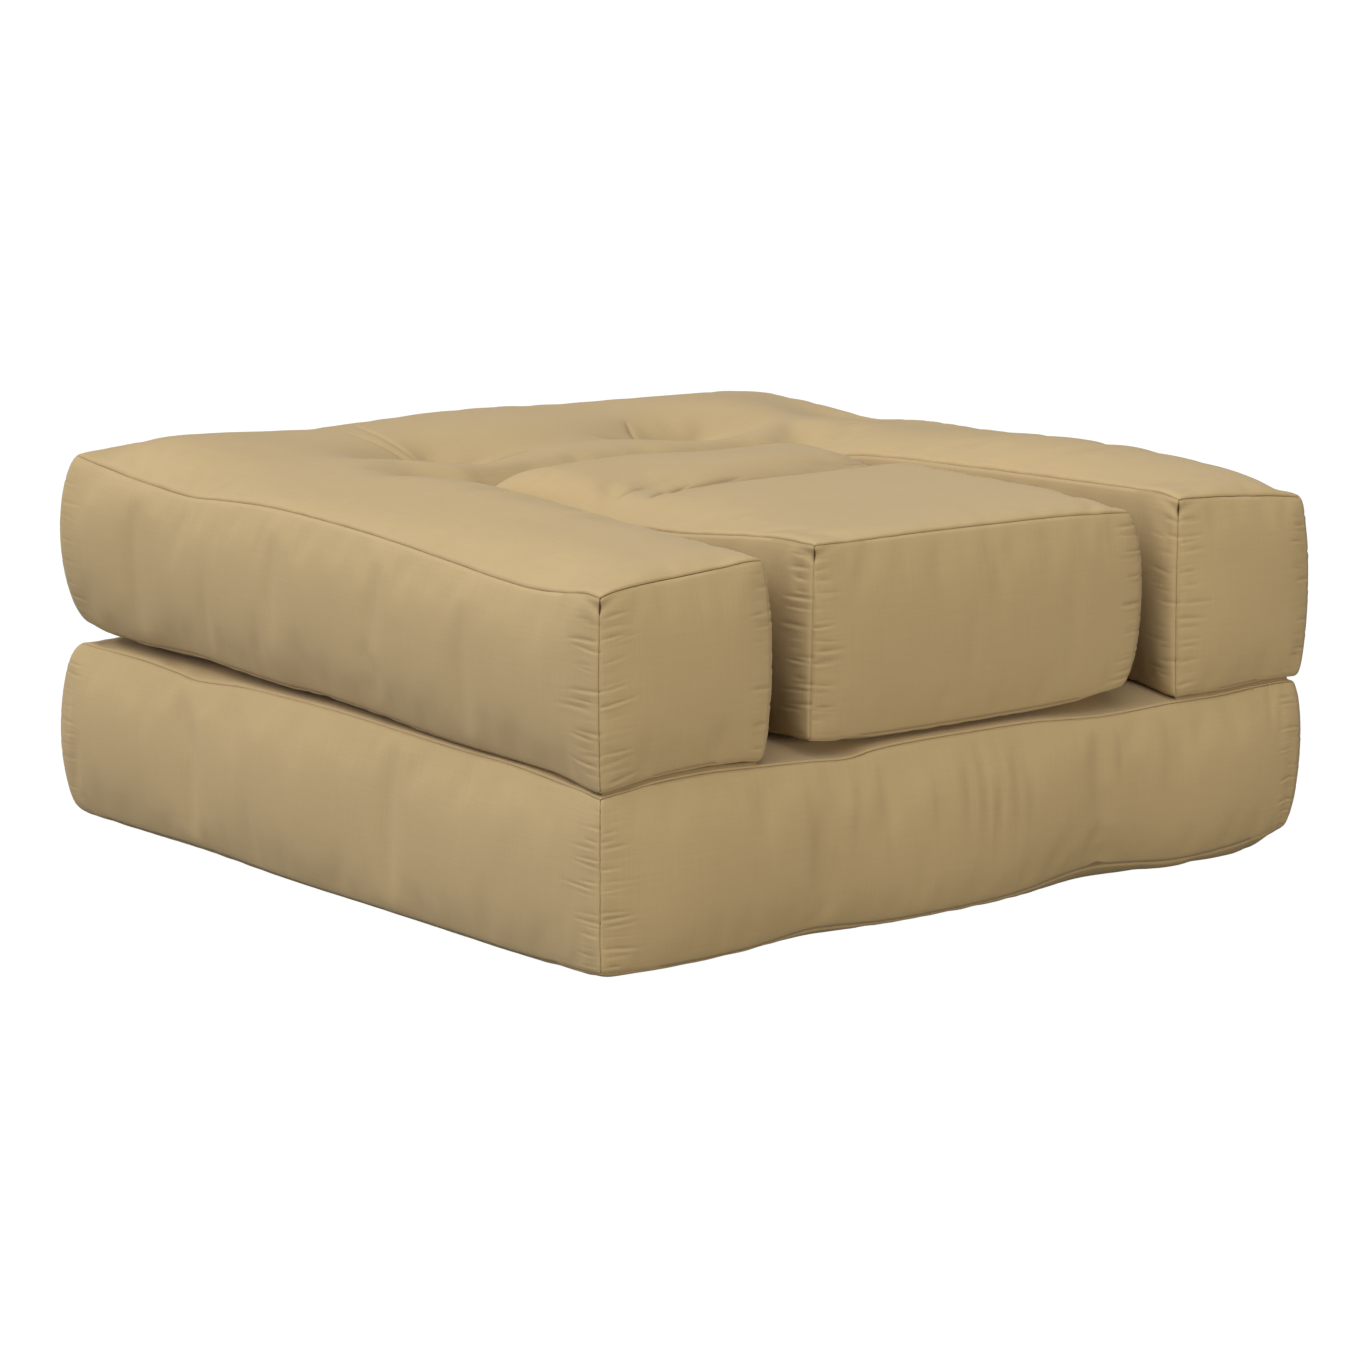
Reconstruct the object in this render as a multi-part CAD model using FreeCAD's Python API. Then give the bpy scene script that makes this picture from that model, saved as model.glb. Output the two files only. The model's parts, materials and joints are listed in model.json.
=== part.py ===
"""Fold-out futon mattress: two boxed and tufted square blocks, one on the other.

The lower block is a plain pad.  The upper block is cut from the front by two slits into a left arm,
a loose flap, a right arm and the back section that joins them.  The arms are sewn to the lower block
along the front edge, so the upper block swings over forwards into a bed.  The flap is sewn to the back
section at its root, so it folds back on top of it and leaves a seat between the arms.

Millimetres.  X runs to the right, Y to the rear, Z up.  The origin is on the floor, under the middle
of the footprint.  Every block is a cloth cover (panels and borders) over two cotton felts and a core.
"""

import FreeCAD
import Part

import math
import os

from FreeCAD import Vector

# ---- driving dimensions ---------------------------------------------------------------------------

block_width = 900.0        # seam to seam, left to right
block_depth = 900.0        # front border to rear seam
block_thickness = 186.0    # the lower block, crown to crown, and the upper one before its swell
top_swell = 12.0           # how far the free top of the upper block and flap stands higher still
layer_gap = 0.3            # air between the two blocks at their crowns

left_arm_width = 195.0
right_arm_width = 175.0
slit_width = 63.0          # between an arm and the flap, seam to seam
flap_length = 545.0
root_gap = 0.3             # between the flap's root and the back section

cover_thickness = 1.6      # canvas with its wadding
felt_thickness = 30.0      # cotton felt under each panel

seam_drop = 12.0           # how far a pressed panel falls from its crown to its seam
crown_run = 60.0           # over this distance
swell_share = 0.42         # of the narrower arm's width: the same for the free top of the upper block
root_drop = 34.0           # the same at the flap's root, where a valley crosses the top
root_run = 76.0
border_bulge = 8.0         # outward swell of a side or rear border
slit_bulge = 6.0           # outward swell of a border that faces a slit
hinge_edge_radius = 4.0    # of the square edges that are sewn together at the front

tuft_radius = 60.0         # where a tuft's dimple fades into the panel
tuft_seat_radius = 9.0     # flat bottom of the dimple, under the twine
tuft_depth = 15.0          # on a pressed panel; a free top has its swell as well
base_tuft_columns = (258.0, 626.0)    # from the left seam
base_tuft_rows = (328.0, 666.0)       # from the front border
back_tuft_columns = (303.0, 637.0)
back_tuft_setback = 137.0             # from the root of the flap
flap_tuft_columns = (92.0, 342.0)     # from the flap's left seam
flap_tuft_row = 377.0                 # from the flap's front border

twine_diameter = 3.0
twine_stitch = 9.0         # between the two strands of one tuft
twine_clearance = 0.3      # round a strand in its hole

touch_tolerance = 1e-4     # faces nearer than this count as one when forms are joined or crossed

seam_cord_diameter = 2.6   # the sewn edge that the arms turn on
tape_width = 96.0          # hinge tape over the root valley, measured across it
tape_thickness = 1.2
tape_gap = 0.3
tape_end_margin = 66.0     # it stops short of the flap's rounded side edges

# ---- derived levels and places --------------------------------------------------------------------

left_x = -block_width / 2
right_x = block_width / 2
front_y = -(block_depth + border_bulge) / 2
rear_y = front_y + block_depth

base_bottom = 0.0
base_top = base_bottom + block_thickness
upper_bottom = base_top + layer_gap
upper_top = upper_bottom + block_thickness + top_swell
free_drop = seam_drop + top_swell
swell_run = swell_share * min(left_arm_width, right_arm_width)

arm_inner_left = left_x + left_arm_width
arm_inner_right = right_x - right_arm_width
flap_left = arm_inner_left + slit_width
flap_right = arm_inner_right - slit_width
flap_root = front_y + flap_length
back_front = flap_root + root_gap

SOFT = ("crown", seam_drop, crown_run)
FREE = ("crown", free_drop, swell_run)
ROOT = ("crown", root_drop, root_run)
SQUARE = ("square", hinge_edge_radius)


# ---- sections: the outline of a block across its width or depth -------------------------------------

def crown_points(edge, level, finish, outward, upward):
    """Seam, middle and crown point of a panel's rounded margin, as (along, height) pairs."""
    drop, run = finish[1], finish[2]
    radius = (run * run + drop * drop) / (2 * drop)
    half = math.asin(run / radius) / 2
    along = edge - outward * run
    centre = level - upward * radius
    seam = (edge, level - upward * drop)
    middle = (along + outward * radius * math.sin(half), centre + upward * radius * math.cos(half))
    return seam, middle, (along, level)


def square_points(edge, level, finish, outward, upward):
    """The same three points where the edge is square, with a small radius."""
    radius = finish[1]
    corner_along = edge - outward * radius
    corner_level = level - upward * radius
    reach = radius / math.sqrt(2)
    middle = (corner_along + outward * reach, corner_level + upward * reach)
    return (edge, corner_level), middle, (corner_along, level)


def edge_points(edge, level, finish, outward, upward):
    maker = crown_points if finish[0] == "crown" else square_points
    return maker(edge, level, finish, outward, upward)


def section_face(near, far, bottom, top, near_end, far_end, place):
    """Closed outline of a block.  Each end is (upper finish, lower finish, bulge); place maps to 3-D."""
    far_upper = edge_points(far, top, far_end[0], 1, 1)
    far_lower = edge_points(far, bottom, far_end[1], 1, -1)
    near_upper = edge_points(near, top, near_end[0], -1, 1)
    near_lower = edge_points(near, bottom, near_end[1], -1, -1)

    def arc(a, b, c):
        return Part.Arc(place(a), place(b), place(c)).toShape()

    def line(a, b):
        return Part.LineSegment(place(a), place(b)).toShape()

    def border(upper, lower, outward, bulge):
        if bulge == 0:
            return line(upper[0], lower[0])
        swell = (upper[0][0] + outward * bulge, (upper[0][1] + lower[0][1]) / 2)
        return arc(upper[0], swell, lower[0])

    edges = [
        arc(*far_upper),
        line(far_upper[2], near_upper[2]),
        arc(*near_upper),
        border(near_upper, near_lower, -1, near_end[2]),
        arc(*near_lower),
        line(near_lower[2], far_lower[2]),
        arc(*far_lower),
        border(far_upper, far_lower, 1, far_end[2]),
    ]
    return Part.Face(Part.Wire(Part.__sortEdges__(edges)))


def pad(spans, levels, ends, inset=0.0):
    """A boxed pad: the solid that two crossed sections share, with its corners mitred.

    spans is ((left, right), (front, rear)), levels (bottom, top), ends the four end descriptions in
    the order left, right, front, rear.  An inset makes the same form, smaller all round.
    """
    (left, right), (front, rear) = spans
    bottom, top = levels[0] + inset, levels[1] - inset
    left, right, front, rear = left + inset, right - inset, front + inset, rear - inset
    room = 2 * (block_width + block_depth)
    across = section_face(left, right, bottom, top, ends[0], ends[1],
                          lambda p: Vector(p[0], -room / 2, p[1]))
    along = section_face(front, rear, bottom, top, ends[2], ends[3],
                         lambda p: Vector(-room / 2, p[0], p[1]))
    length_bar = across.extrude(Vector(0, room, 0))
    width_bar = along.extrude(Vector(room, 0, 0))
    return length_bar.common([width_bar], touch_tolerance)


# ---- tufts ------------------------------------------------------------------------------------------

def dimple_profile(level, upward, depth, place):
    """Half section of a dimple: a flat seat, then a trumpet arc that dies into the panel at level."""
    reach = tuft_radius - tuft_seat_radius
    flare = (reach * reach + depth * depth) / (2 * depth)
    half = math.asin(reach / flare) / 2
    seat = level - upward * depth
    over = level + upward * depth
    middle = (tuft_radius - flare * math.sin(half), level - upward * flare * (1 - math.cos(half)))
    edges = [
        Part.LineSegment(place((0, over)), place((0, seat))).toShape(),
        Part.LineSegment(place((0, seat)), place((tuft_seat_radius, seat))).toShape(),
        Part.Arc(place((tuft_seat_radius, seat)), place(middle), place((tuft_radius, level))).toShape(),
        Part.LineSegment(place((tuft_radius, level)), place((tuft_radius, over))).toShape(),
        Part.LineSegment(place((tuft_radius, over)), place((0, over))).toShape(),
    ]
    return Part.Face(Part.Wire(edges))


def dimple(x, y, level, upward, depth):
    """The round hollow round one tuft, as a tool that is cut from a pad."""
    face = dimple_profile(level, upward, depth, lambda p: Vector(x + p[0], y, p[1]))
    return face.revolve(Vector(x, y, level), Vector(0, 0, 1), 360)


def channel(x_first, x_last, y, level, depth):
    """The trough that a pulled thread leaves between two tufts of one row."""
    halves = [dimple_profile(level, 1, depth, lambda p, s=s: Vector(x_first, y + s * p[0], p[1]))
              for s in (1, -1)]
    run = Vector(x_last - x_first, 0, 0)
    return halves[0].extrude(run).fuse(halves[1].extrude(run))


def strand_places(x):
    return (x - twine_stitch / 2, x + twine_stitch / 2)


def strand_holes(tufts, bottom, top):
    """Holes for both strands of each tuft, right through a block."""
    radius = twine_diameter / 2 + twine_clearance
    holes = []
    for x, y in tufts:
        for strand_x in strand_places(x):
            holes.append(Part.makeCylinder(radius, top - bottom, Vector(strand_x, y, bottom)))
    return holes


def twine_loop(x, y, bottom, top, top_depth):
    """One closed stitch of twine: two strands and a half ring over the cover at each end."""
    radius = twine_diameter / 2
    bend = twine_stitch / 2
    low, high = bottom + tuft_depth, top - top_depth
    first, last = strand_places(x)
    loop = Part.makeCylinder(radius, high - low, Vector(first, y, low))
    loop = loop.fuse(Part.makeCylinder(radius, high - low, Vector(last, y, low)))
    for level, upward in ((high, 1), (low, -1)):
        ring_face = Part.Face(Part.Wire(Part.makeCircle(radius, Vector(first, y, level), Vector(0, 0, 1))))
        axis = Vector(0, upward, 0)
        loop = loop.fuse(ring_face.revolve(Vector(first + bend, y, level), axis, 180))
    return loop.removeSplitter()


# ---- cutting a cover into its pieces ------------------------------------------------------------------

def block(left, right, front, rear, bottom, top):
    """A plain box between six planes."""
    return Part.makeBox(right - left, rear - front, top - bottom, Vector(left, front, bottom))


def slab(bottom, top):
    """A wide flat block between two levels."""
    room = block_width + block_depth
    return block(-room, room, -room, room, bottom, top)


def prism(points, bottom, top):
    """A plan outline made solid between two levels."""
    corners = [Vector(x, y, bottom) for x, y in points]
    face = Part.Face(Part.makePolygon(corners + corners[:1]))
    return face.extrude(Vector(0, 0, top - bottom))


def strip(start, end, turn_start, turn_end, levels):
    """The prism that holds the border from one seam corner to the next, cover on its left.

    At an outer corner (turn 1) the mitre runs inwards past the corner, at an inner one (turn -1)
    outwards, so two neighbours share the corner along its diagonal.
    """
    reach = 2 * border_bulge + 2 * cover_thickness
    along = Vector(end[0] - start[0], end[1] - start[1], 0).normalize()
    inward = Vector(-along.y, along.x, 0)
    a, b = Vector(start[0], start[1], 0), Vector(end[0], end[1], 0)
    corners = [
        a - inward * reach - along * reach * turn_start,
        b - inward * reach + along * reach * turn_end,
        b + inward * reach - along * reach * turn_end,
        a + inward * reach + along * reach * turn_start,
    ]
    return prism([(c.x, c.y) for c in corners], *levels)


def single_solid(shape):
    """The one solid of a boolean's result."""
    solids = shape.Solids
    if len(solids) != 1:
        raise ValueError("expected one solid, got %d" % len(solids))
    return solids[0]


parts = {}


def add(name, shape):
    parts[name] = shape


def add_cover(shell, levels, top_drop, panel_names, borders, border_rooms=(), panel_rooms=()):
    """Cut a block's shell at its seams: a top panel, a bottom panel and a border for each side.

    The seams run seam_drop above the lower crown and top_drop under the upper one.  Boxes in
    border_rooms also go to the borders, as where a border climbs to a square edge, and boxes in
    panel_rooms go to the panels, as where the top panel dives to the flap's root.
    """
    bottom, top = levels
    room = slab(bottom + seam_drop, top - top_drop)
    for part_of_border in border_rooms:
        room = room.fuse(part_of_border)
    for part_of_panel in panel_rooms:
        room = room.cut(part_of_panel)
    border_tools = []
    for name, line in borders:
        tool = strip(*line, levels).common(room)
        add(name, single_solid(shell.common(tool)))
        border_tools.append(tool)
    panels = sorted(shell.cut(border_tools).Solids, key=lambda solid: -solid.CenterOfMass.z)
    if len(panels) != 2:
        raise ValueError("%s: %d panels" % (panel_names[0], len(panels)))
    for name, panel in zip(panel_names, panels):
        add(name, panel)


def add_fill(prefix, fill, levels):
    """Cotton felt, core and cotton felt, stacked inside one cover."""
    bottom, top = levels[0] + cover_thickness, levels[1] - cover_thickness
    low, high = bottom + felt_thickness, top - felt_thickness
    add(prefix + "_felt_bottom", single_solid(fill.common(slab(bottom, low))))
    add(prefix + "_core", single_solid(fill.common(slab(low, high))))
    add(prefix + "_felt_top", single_solid(fill.common(slab(high, top))))


def hollow(outer, inner, tufts, levels, top_depth, trough=None):
    """Dimpled outside and inside of a block: (cover shell, fill)."""
    bottom, top = levels
    cuts, inner_cuts = [], []
    for x, y in tufts:
        cuts += [dimple(x, y, top, 1, top_depth), dimple(x, y, bottom, -1, tuft_depth)]
        inner_cuts += [dimple(x, y, top - cover_thickness, 1, top_depth),
                       dimple(x, y, bottom + cover_thickness, -1, tuft_depth)]
    if trough:
        cuts.append(channel(*trough, top, top_depth))
        inner_cuts.append(channel(*trough, top - cover_thickness, top_depth))
    holes = strand_holes(tufts, bottom, top)
    fill = inner.cut(inner_cuts)
    shell = outer.cut(cuts).cut(fill)
    return shell.cut(holes), fill.cut(holes)


def add_twines(name, tufts, levels, top_depth):
    add(name, Part.makeCompound([twine_loop(x, y, *levels, top_depth) for x, y in tufts]))


def ring_of(corners, names):
    """Border lines round a plain block, the name at each place starting from that corner."""
    return [(name, (corners[i], corners[(i + 1) % len(corners)], 1, 1)) for i, name in enumerate(names)]


# ---- lower block --------------------------------------------------------------------------------------

base_side = (SOFT, SOFT, border_bulge)
upper_side = (FREE, SOFT, border_bulge)
slit_side = (FREE, SOFT, slit_bulge)
straight = (FREE, SOFT, 0.0)
hinge_over = (FREE, SQUARE, 0.0)     # front of an arm, sewn along its lower edge
hinge_under = (SQUARE, SOFT, 0.0)    # front of the lower block, sewn along its upper edge
root_end = (ROOT, SOFT, 0.0)
free_tuft_depth = tuft_depth + top_swell


def build_base():
    spans = ((left_x, right_x), (front_y, rear_y))
    levels = (base_bottom, base_top)
    ends = (base_side, base_side, hinge_under, base_side)
    tufts = [(left_x + x, front_y + y) for y in base_tuft_rows for x in base_tuft_columns]
    shell, fill = hollow(pad(spans, levels, ends), pad(spans, levels, ends, cover_thickness),
                         tufts, levels, tuft_depth)
    corners = [(left_x, front_y), (right_x, front_y), (right_x, rear_y), (left_x, rear_y)]
    names = ("base_front_border", "base_right_border", "base_rear_border", "base_left_border")
    climb = block(left_x, right_x, front_y, front_y + cover_thickness,
                  base_top - seam_drop, base_top - hinge_edge_radius)
    add_cover(shell, levels, seam_drop, ("base_top_panel", "base_bottom_panel"), ring_of(corners, names),
              [climb])
    add_fill("base", fill, levels)
    add_twines("base_tuft_twines", tufts, levels, tuft_depth)


# ---- upper block: back section and arms ---------------------------------------------------------------

def upper_form(inset):
    """Back section and both arms, run together; the arms carry on to the rear border."""
    levels = (upper_bottom, upper_top)
    back = pad(((left_x, right_x), (back_front, rear_y)), levels, 
               (upper_side, upper_side, root_end, upper_side), inset)
    left = pad(((left_x, arm_inner_left), (front_y, rear_y)), levels,
               (upper_side, slit_side, hinge_over, upper_side), inset)
    right = pad(((arm_inner_right, right_x), (front_y, rear_y)), levels,
                (slit_side, upper_side, hinge_over, upper_side), inset)
    return back.fuse([left, right], touch_tolerance).removeSplitter()


def build_upper():
    levels = (upper_bottom, upper_top)
    row = flap_root + back_tuft_setback
    tufts = [(left_x + x, row) for x in back_tuft_columns]
    shell, fill = hollow(upper_form(0.0), upper_form(cover_thickness), tufts, levels, free_tuft_depth)
    outline = [
        ("left_arm_front_border", (left_x, front_y), 1),
        ("left_arm_inner_border", (arm_inner_left, front_y), 1),
        ("back_front_border", (arm_inner_left, back_front), -1),
        ("right_arm_inner_border", (arm_inner_right, back_front), -1),
        ("right_arm_front_border", (arm_inner_right, front_y), 1),
        ("upper_right_border", (right_x, front_y), 1),
        ("upper_rear_border", (right_x, rear_y), 1),
        ("upper_left_border", (left_x, rear_y), 1),
    ]
    borders = []
    for i, (name, start, turn) in enumerate(outline):
        following = outline[(i + 1) % len(outline)]
        borders.append((name, (start, following[1], turn, following[2])))
    sewn = (front_y, front_y + cover_thickness, upper_bottom + hinge_edge_radius, upper_bottom + seam_drop)
    climbs = [block(left_x, arm_inner_left, *sewn), block(arm_inner_right, right_x, *sewn)]
    dive = block(arm_inner_left + slit_bulge, arm_inner_right - slit_bulge,
                 back_front - cover_thickness, back_front + root_run,
                 upper_top - root_drop, upper_top - free_drop)
    add_cover(shell, levels, free_drop, ("upper_top_panel", "upper_bottom_panel"), borders, climbs, [dive])
    far = block_depth
    arm_back = back_front + cover_thickness
    regions = {
        "left_arm": [(left_x - far, front_y - far), (arm_inner_left + slit_width / 2, front_y - far),
                     (arm_inner_left + slit_width / 2, arm_back), (left_x - far, arm_back)],
        "right_arm": [(arm_inner_right - slit_width / 2, front_y - far), (right_x + far, front_y - far),
                      (right_x + far, arm_back), (arm_inner_right - slit_width / 2, arm_back)],
        "back": [(left_x - far, arm_back), (right_x + far, arm_back),
                 (right_x + far, rear_y + far), (left_x - far, rear_y + far)],
    }
    for prefix, outline_points in regions.items():
        room = prism(outline_points, *levels)
        add_fill(prefix, fill.common(room), levels)
    add_twines("upper_tuft_twines", tufts, levels, free_tuft_depth)


# ---- flap ---------------------------------------------------------------------------------------------

def build_flap():
    spans = ((flap_left, flap_right), (front_y, flap_root))
    levels = (upper_bottom, upper_top)
    ends = (slit_side, slit_side, straight, root_end)
    row = front_y + flap_tuft_row
    tufts = [(flap_left + x, row) for x in flap_tuft_columns]
    trough = (tufts[0][0], tufts[1][0], row)
    shell, fill = hollow(pad(spans, levels, ends), pad(spans, levels, ends, cover_thickness),
                         tufts, levels, free_tuft_depth, trough)
    corners = [(flap_left, front_y), (flap_right, front_y), (flap_right, flap_root), (flap_left, flap_root)]
    names = ("flap_front_border", "flap_right_border", "flap_root_border", "flap_left_border")
    dive = block(flap_left + cover_thickness, flap_right - cover_thickness,
                 flap_root - root_run, flap_root + cover_thickness,
                 upper_top - root_drop, upper_top - free_drop)
    add_cover(shell, levels, free_drop, ("flap_top_panel", "flap_bottom_panel"), ring_of(corners, names),
              [], [dive])
    add_fill("flap", fill, levels)
    add_twines("flap_tuft_twines", tufts, levels, free_tuft_depth)


# ---- sewn hinges --------------------------------------------------------------------------------------

def build_hinges():
    radius = seam_cord_diameter / 2
    axis_y = front_y - layer_gap / 2
    axis_z = base_top + layer_gap / 2
    for name, start, end in (("left_hinge_seam", left_x, arm_inner_left),
                             ("right_hinge_seam", arm_inner_right, right_x)):
        add(name, Part.makeCylinder(radius, end - start, Vector(start, axis_y, axis_z), Vector(1, 0, 0)))
    add("flap_hinge_tape", root_tape())


def root_tape():
    """Strip of canvas that follows the valley from the back section down and up on to the flap."""
    radius = (root_run * root_run + root_drop * root_drop) / (2 * root_drop)
    half = tape_width / 2
    middle_y = (flap_root + back_front) / 2
    length = flap_right - flap_left - 2 * tape_end_margin
    start_x = flap_left + tape_end_margin

    def side_points(outward, lift):
        """Tape edge, middle and foot of one side of the valley, lifted off the panel."""
        edge = flap_root if outward < 0 else back_front
        centre = Vector(start_x, edge + outward * root_run, upper_top - radius)
        reach = radius + lift
        points = []
        for off in (half, half / 2, 0):
            y = middle_y + outward * off
            y = edge if off == 0 else y
            across = centre.y - y
            points.append(Vector(start_x, y, centre.z + math.sqrt(reach * reach - across * across)))
        return points

    def outline(lift):
        flap_side, back_side = side_points(-1, lift), side_points(1, lift)
        return flap_side, back_side

    low_flap, low_back = outline(tape_gap)
    high_flap, high_back = outline(tape_gap + tape_thickness)
    edges = [
        Part.Arc(*low_flap).toShape(),
        Part.LineSegment(low_flap[2], low_back[2]).toShape(),
        Part.Arc(*reversed(low_back)).toShape(),
        Part.LineSegment(low_back[0], high_back[0]).toShape(),
        Part.Arc(*high_back).toShape(),
        Part.LineSegment(high_back[2], high_flap[2]).toShape(),
        Part.Arc(*reversed(high_flap)).toShape(),
        Part.LineSegment(high_flap[0], low_flap[0]).toShape(),
    ]
    return Part.Face(Part.Wire(edges)).extrude(Vector(length, 0, 0))


# ---- build and write ------------------------------------------------------------------------------------

build_base()
build_upper()
build_flap()
build_hinges()

os.makedirs("parts", exist_ok=True)
for name, shape in parts.items():
    if not shape.isValid():
        raise ValueError("%s is not a valid solid" % name)
    shape.exportStep("parts/%s.step" % name)
    box = shape.BoundBox
    print("%-26s %8.1f cm3  x %7.1f..%7.1f  y %7.1f..%7.1f  z %6.1f..%6.1f" % (
        name, shape.Volume / 1000, box.XMin, box.XMax, box.YMin, box.YMax, box.ZMin, box.ZMax))

print("unfold axis: y %.3f z %.3f" % (front_y - layer_gap / 2, base_top + layer_gap / 2))
print("flap fold axis: y %.3f z %.3f" % ((flap_root + back_front) / 2, upper_top + layer_gap / 2))
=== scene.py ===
import bmesh
import bpy
import json
import math
import random
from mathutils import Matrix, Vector
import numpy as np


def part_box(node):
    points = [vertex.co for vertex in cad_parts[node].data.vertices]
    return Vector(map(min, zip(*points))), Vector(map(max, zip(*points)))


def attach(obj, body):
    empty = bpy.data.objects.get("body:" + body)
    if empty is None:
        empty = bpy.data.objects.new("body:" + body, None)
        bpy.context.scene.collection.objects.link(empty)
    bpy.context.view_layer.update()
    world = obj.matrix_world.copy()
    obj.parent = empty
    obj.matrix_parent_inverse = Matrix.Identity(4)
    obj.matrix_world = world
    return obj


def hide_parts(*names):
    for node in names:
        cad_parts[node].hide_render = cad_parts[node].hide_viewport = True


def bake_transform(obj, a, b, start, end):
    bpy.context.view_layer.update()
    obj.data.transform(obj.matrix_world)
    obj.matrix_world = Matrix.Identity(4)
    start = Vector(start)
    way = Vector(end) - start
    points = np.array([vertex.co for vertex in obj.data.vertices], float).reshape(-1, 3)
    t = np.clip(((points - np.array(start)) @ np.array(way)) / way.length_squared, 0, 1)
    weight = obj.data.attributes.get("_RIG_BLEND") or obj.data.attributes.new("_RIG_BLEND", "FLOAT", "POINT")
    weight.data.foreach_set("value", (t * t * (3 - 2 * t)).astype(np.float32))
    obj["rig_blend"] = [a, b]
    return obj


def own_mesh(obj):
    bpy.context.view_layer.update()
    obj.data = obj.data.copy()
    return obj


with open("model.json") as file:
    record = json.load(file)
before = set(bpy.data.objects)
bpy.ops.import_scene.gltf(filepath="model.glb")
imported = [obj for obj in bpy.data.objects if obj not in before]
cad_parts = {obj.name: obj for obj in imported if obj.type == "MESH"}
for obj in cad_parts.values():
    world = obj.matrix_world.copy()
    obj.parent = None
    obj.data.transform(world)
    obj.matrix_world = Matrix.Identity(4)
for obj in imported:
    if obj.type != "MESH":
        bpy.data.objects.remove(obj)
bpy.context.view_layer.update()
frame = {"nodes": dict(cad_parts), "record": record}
print("frame loaded:", len(frame["nodes"]), "nodes")


# places taken from the frame, in metres

baseLow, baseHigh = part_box("base_top_panel")
leftX, rightX = baseLow.x, baseHigh.x
frontY, rearY = baseLow.y, baseHigh.y
contactZ = baseHigh.z
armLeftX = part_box("left_arm_front_border")[1].x
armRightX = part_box("right_arm_front_border")[0].x
flapLow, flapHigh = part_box("flap_top_panel")
flapLeftX, flapRightX = flapLow.x, flapHigh.x
rootY = flapHigh.y
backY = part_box("back_core")[0].y
strandHalf = 0.006
strandRadius = 0.0015


def tuftPlaces(name):
    # columns and rows of the tufts that one node's twines pull in
    low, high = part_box(name)
    rows = sorted({round(low.y + strandRadius, 4), round(high.y - strandRadius, 4)})
    return (low.x + strandHalf, high.x - strandHalf), rows


def curveAt(points, place):
    # a smooth line through (place, value) pairs, level outside its ends
    if place <= points[0][0]:
        return points[0][1]
    if place >= points[-1][0]:
        return points[-1][1]
    n = next(n for n in range(len(points) - 1) if place <= points[n + 1][0])
    (a, valueA), (b, valueB) = points[n], points[n + 1]
    before = points[max(n - 1, 0)]
    after = points[min(n + 2, len(points) - 1)]
    span = b - a
    slopeA = (valueB - before[1]) / (b - before[0]) * span
    slopeB = (after[1] - valueA) / (after[0] - a) * span
    u = (place - a) / span
    return (valueA * (2 * u ** 3 - 3 * u * u + 1) + slopeA * (u ** 3 - 2 * u * u + u)
            + valueB * (3 * u * u - 2 * u ** 3) + slopeB * (u ** 3 - u * u))


def line(places, *values):
    # the same kind of line, from places that several lines share
    return list(zip(places, values))


def fade(a, b, value):
    u = min(max((value - a) / (b - a), 0.0), 1.0)
    return u * u * (3 - 2 * u)


def bell(distance, width):
    return math.exp(-(distance / width) ** 2)


def swellOf(share, power):
    # how far a stuffed face stands out, from 0 at a seam to 1
    u = min(max(share, 0.0), 1.0)
    return (1 - (1 - u) ** 2) ** power


def softFloor(value, limit, blendRange):
    # value, but never under limit, with a rounded change over blendRange
    gap = value - limit
    if gap > blendRange:
        return value
    if gap < -blendRange:
        return limit
    return limit + (gap + blendRange) ** 2 / (4 * blendRange)


def hills(*rows):
    # soft hills, each given by its x and y, its reach along and across, and its rise
    return [dict(zip(("x", "y", "wide", "deep", "rise"), row)) for row in rows]


def bumps(listed, x, y):
    # the sum of soft hills at a place
    return sum(hill["rise"] * bell(x - hill["x"], hill["wide"]) * bell(y - hill["y"], hill["deep"])
               for hill in listed)


def crease(start, end, depth, width, bow=0.0):
    return {"start": start, "end": end, "depth": depth, "width": width, "bow": bow}


def creaseDrop(creases, x, y):
    # sharp folds along short lines, dying out past both ends
    drop = 0.0
    for fold in creases:
        (ax, ay), (bx, by) = fold["start"], fold["end"]
        dx, dy = bx - ax, by - ay
        length = math.hypot(dx, dy)
        share = ((x - ax) * dx + (y - ay) * dy) / length ** 2
        bow = fold["bow"] * 4 * share * (1 - share)
        gap = ((x - ax) * dy - (y - ay) * dx) / length - bow
        if -0.5 < share < 1.5 and abs(gap) < 8 * fold["width"]:
            ends = fade(-0.25, 0.2, share) * (1 - fade(0.8, 1.25, share))
            drop += fold["depth"] * ends * math.exp(-abs(gap) / fold["width"])
    return drop


# ---- where the two layers meet, and the line they are hinged on

hingeLine = [(-0.45, 0.1765), (-0.425, 0.179), (-0.39, 0.183), (-0.33, 0.185), (-0.294, 0.184),
             (-0.25, 0.1815), (-0.2, 0.179), (-0.147, 0.1755), (-0.12, 0.180), (-0.07, 0.182), (0.008, 0.182),
             (0.088, 0.181), (0.176, 0.175), (0.273, 0.1765), (0.337, 0.176), (0.40, 0.179), (0.45, 0.178)]
contactGap = 0.0003
floorGap = 0.0006
armGap = [(-0.45, 0.0003), (-0.42, 0.0012), (-0.36, 0.0030), (-0.27, 0.0030), (0.275, 0.0022),
          (0.35, 0.0022), (0.45, 0.0010)]
armSeam = [(place, z + curveAt(armGap, place)) for place, z in hingeLine]
frontBend = 0.045
leftRise = {"y": -0.01, "deep": 0.13, "wide": 0.06, "rise": 0.003}


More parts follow.
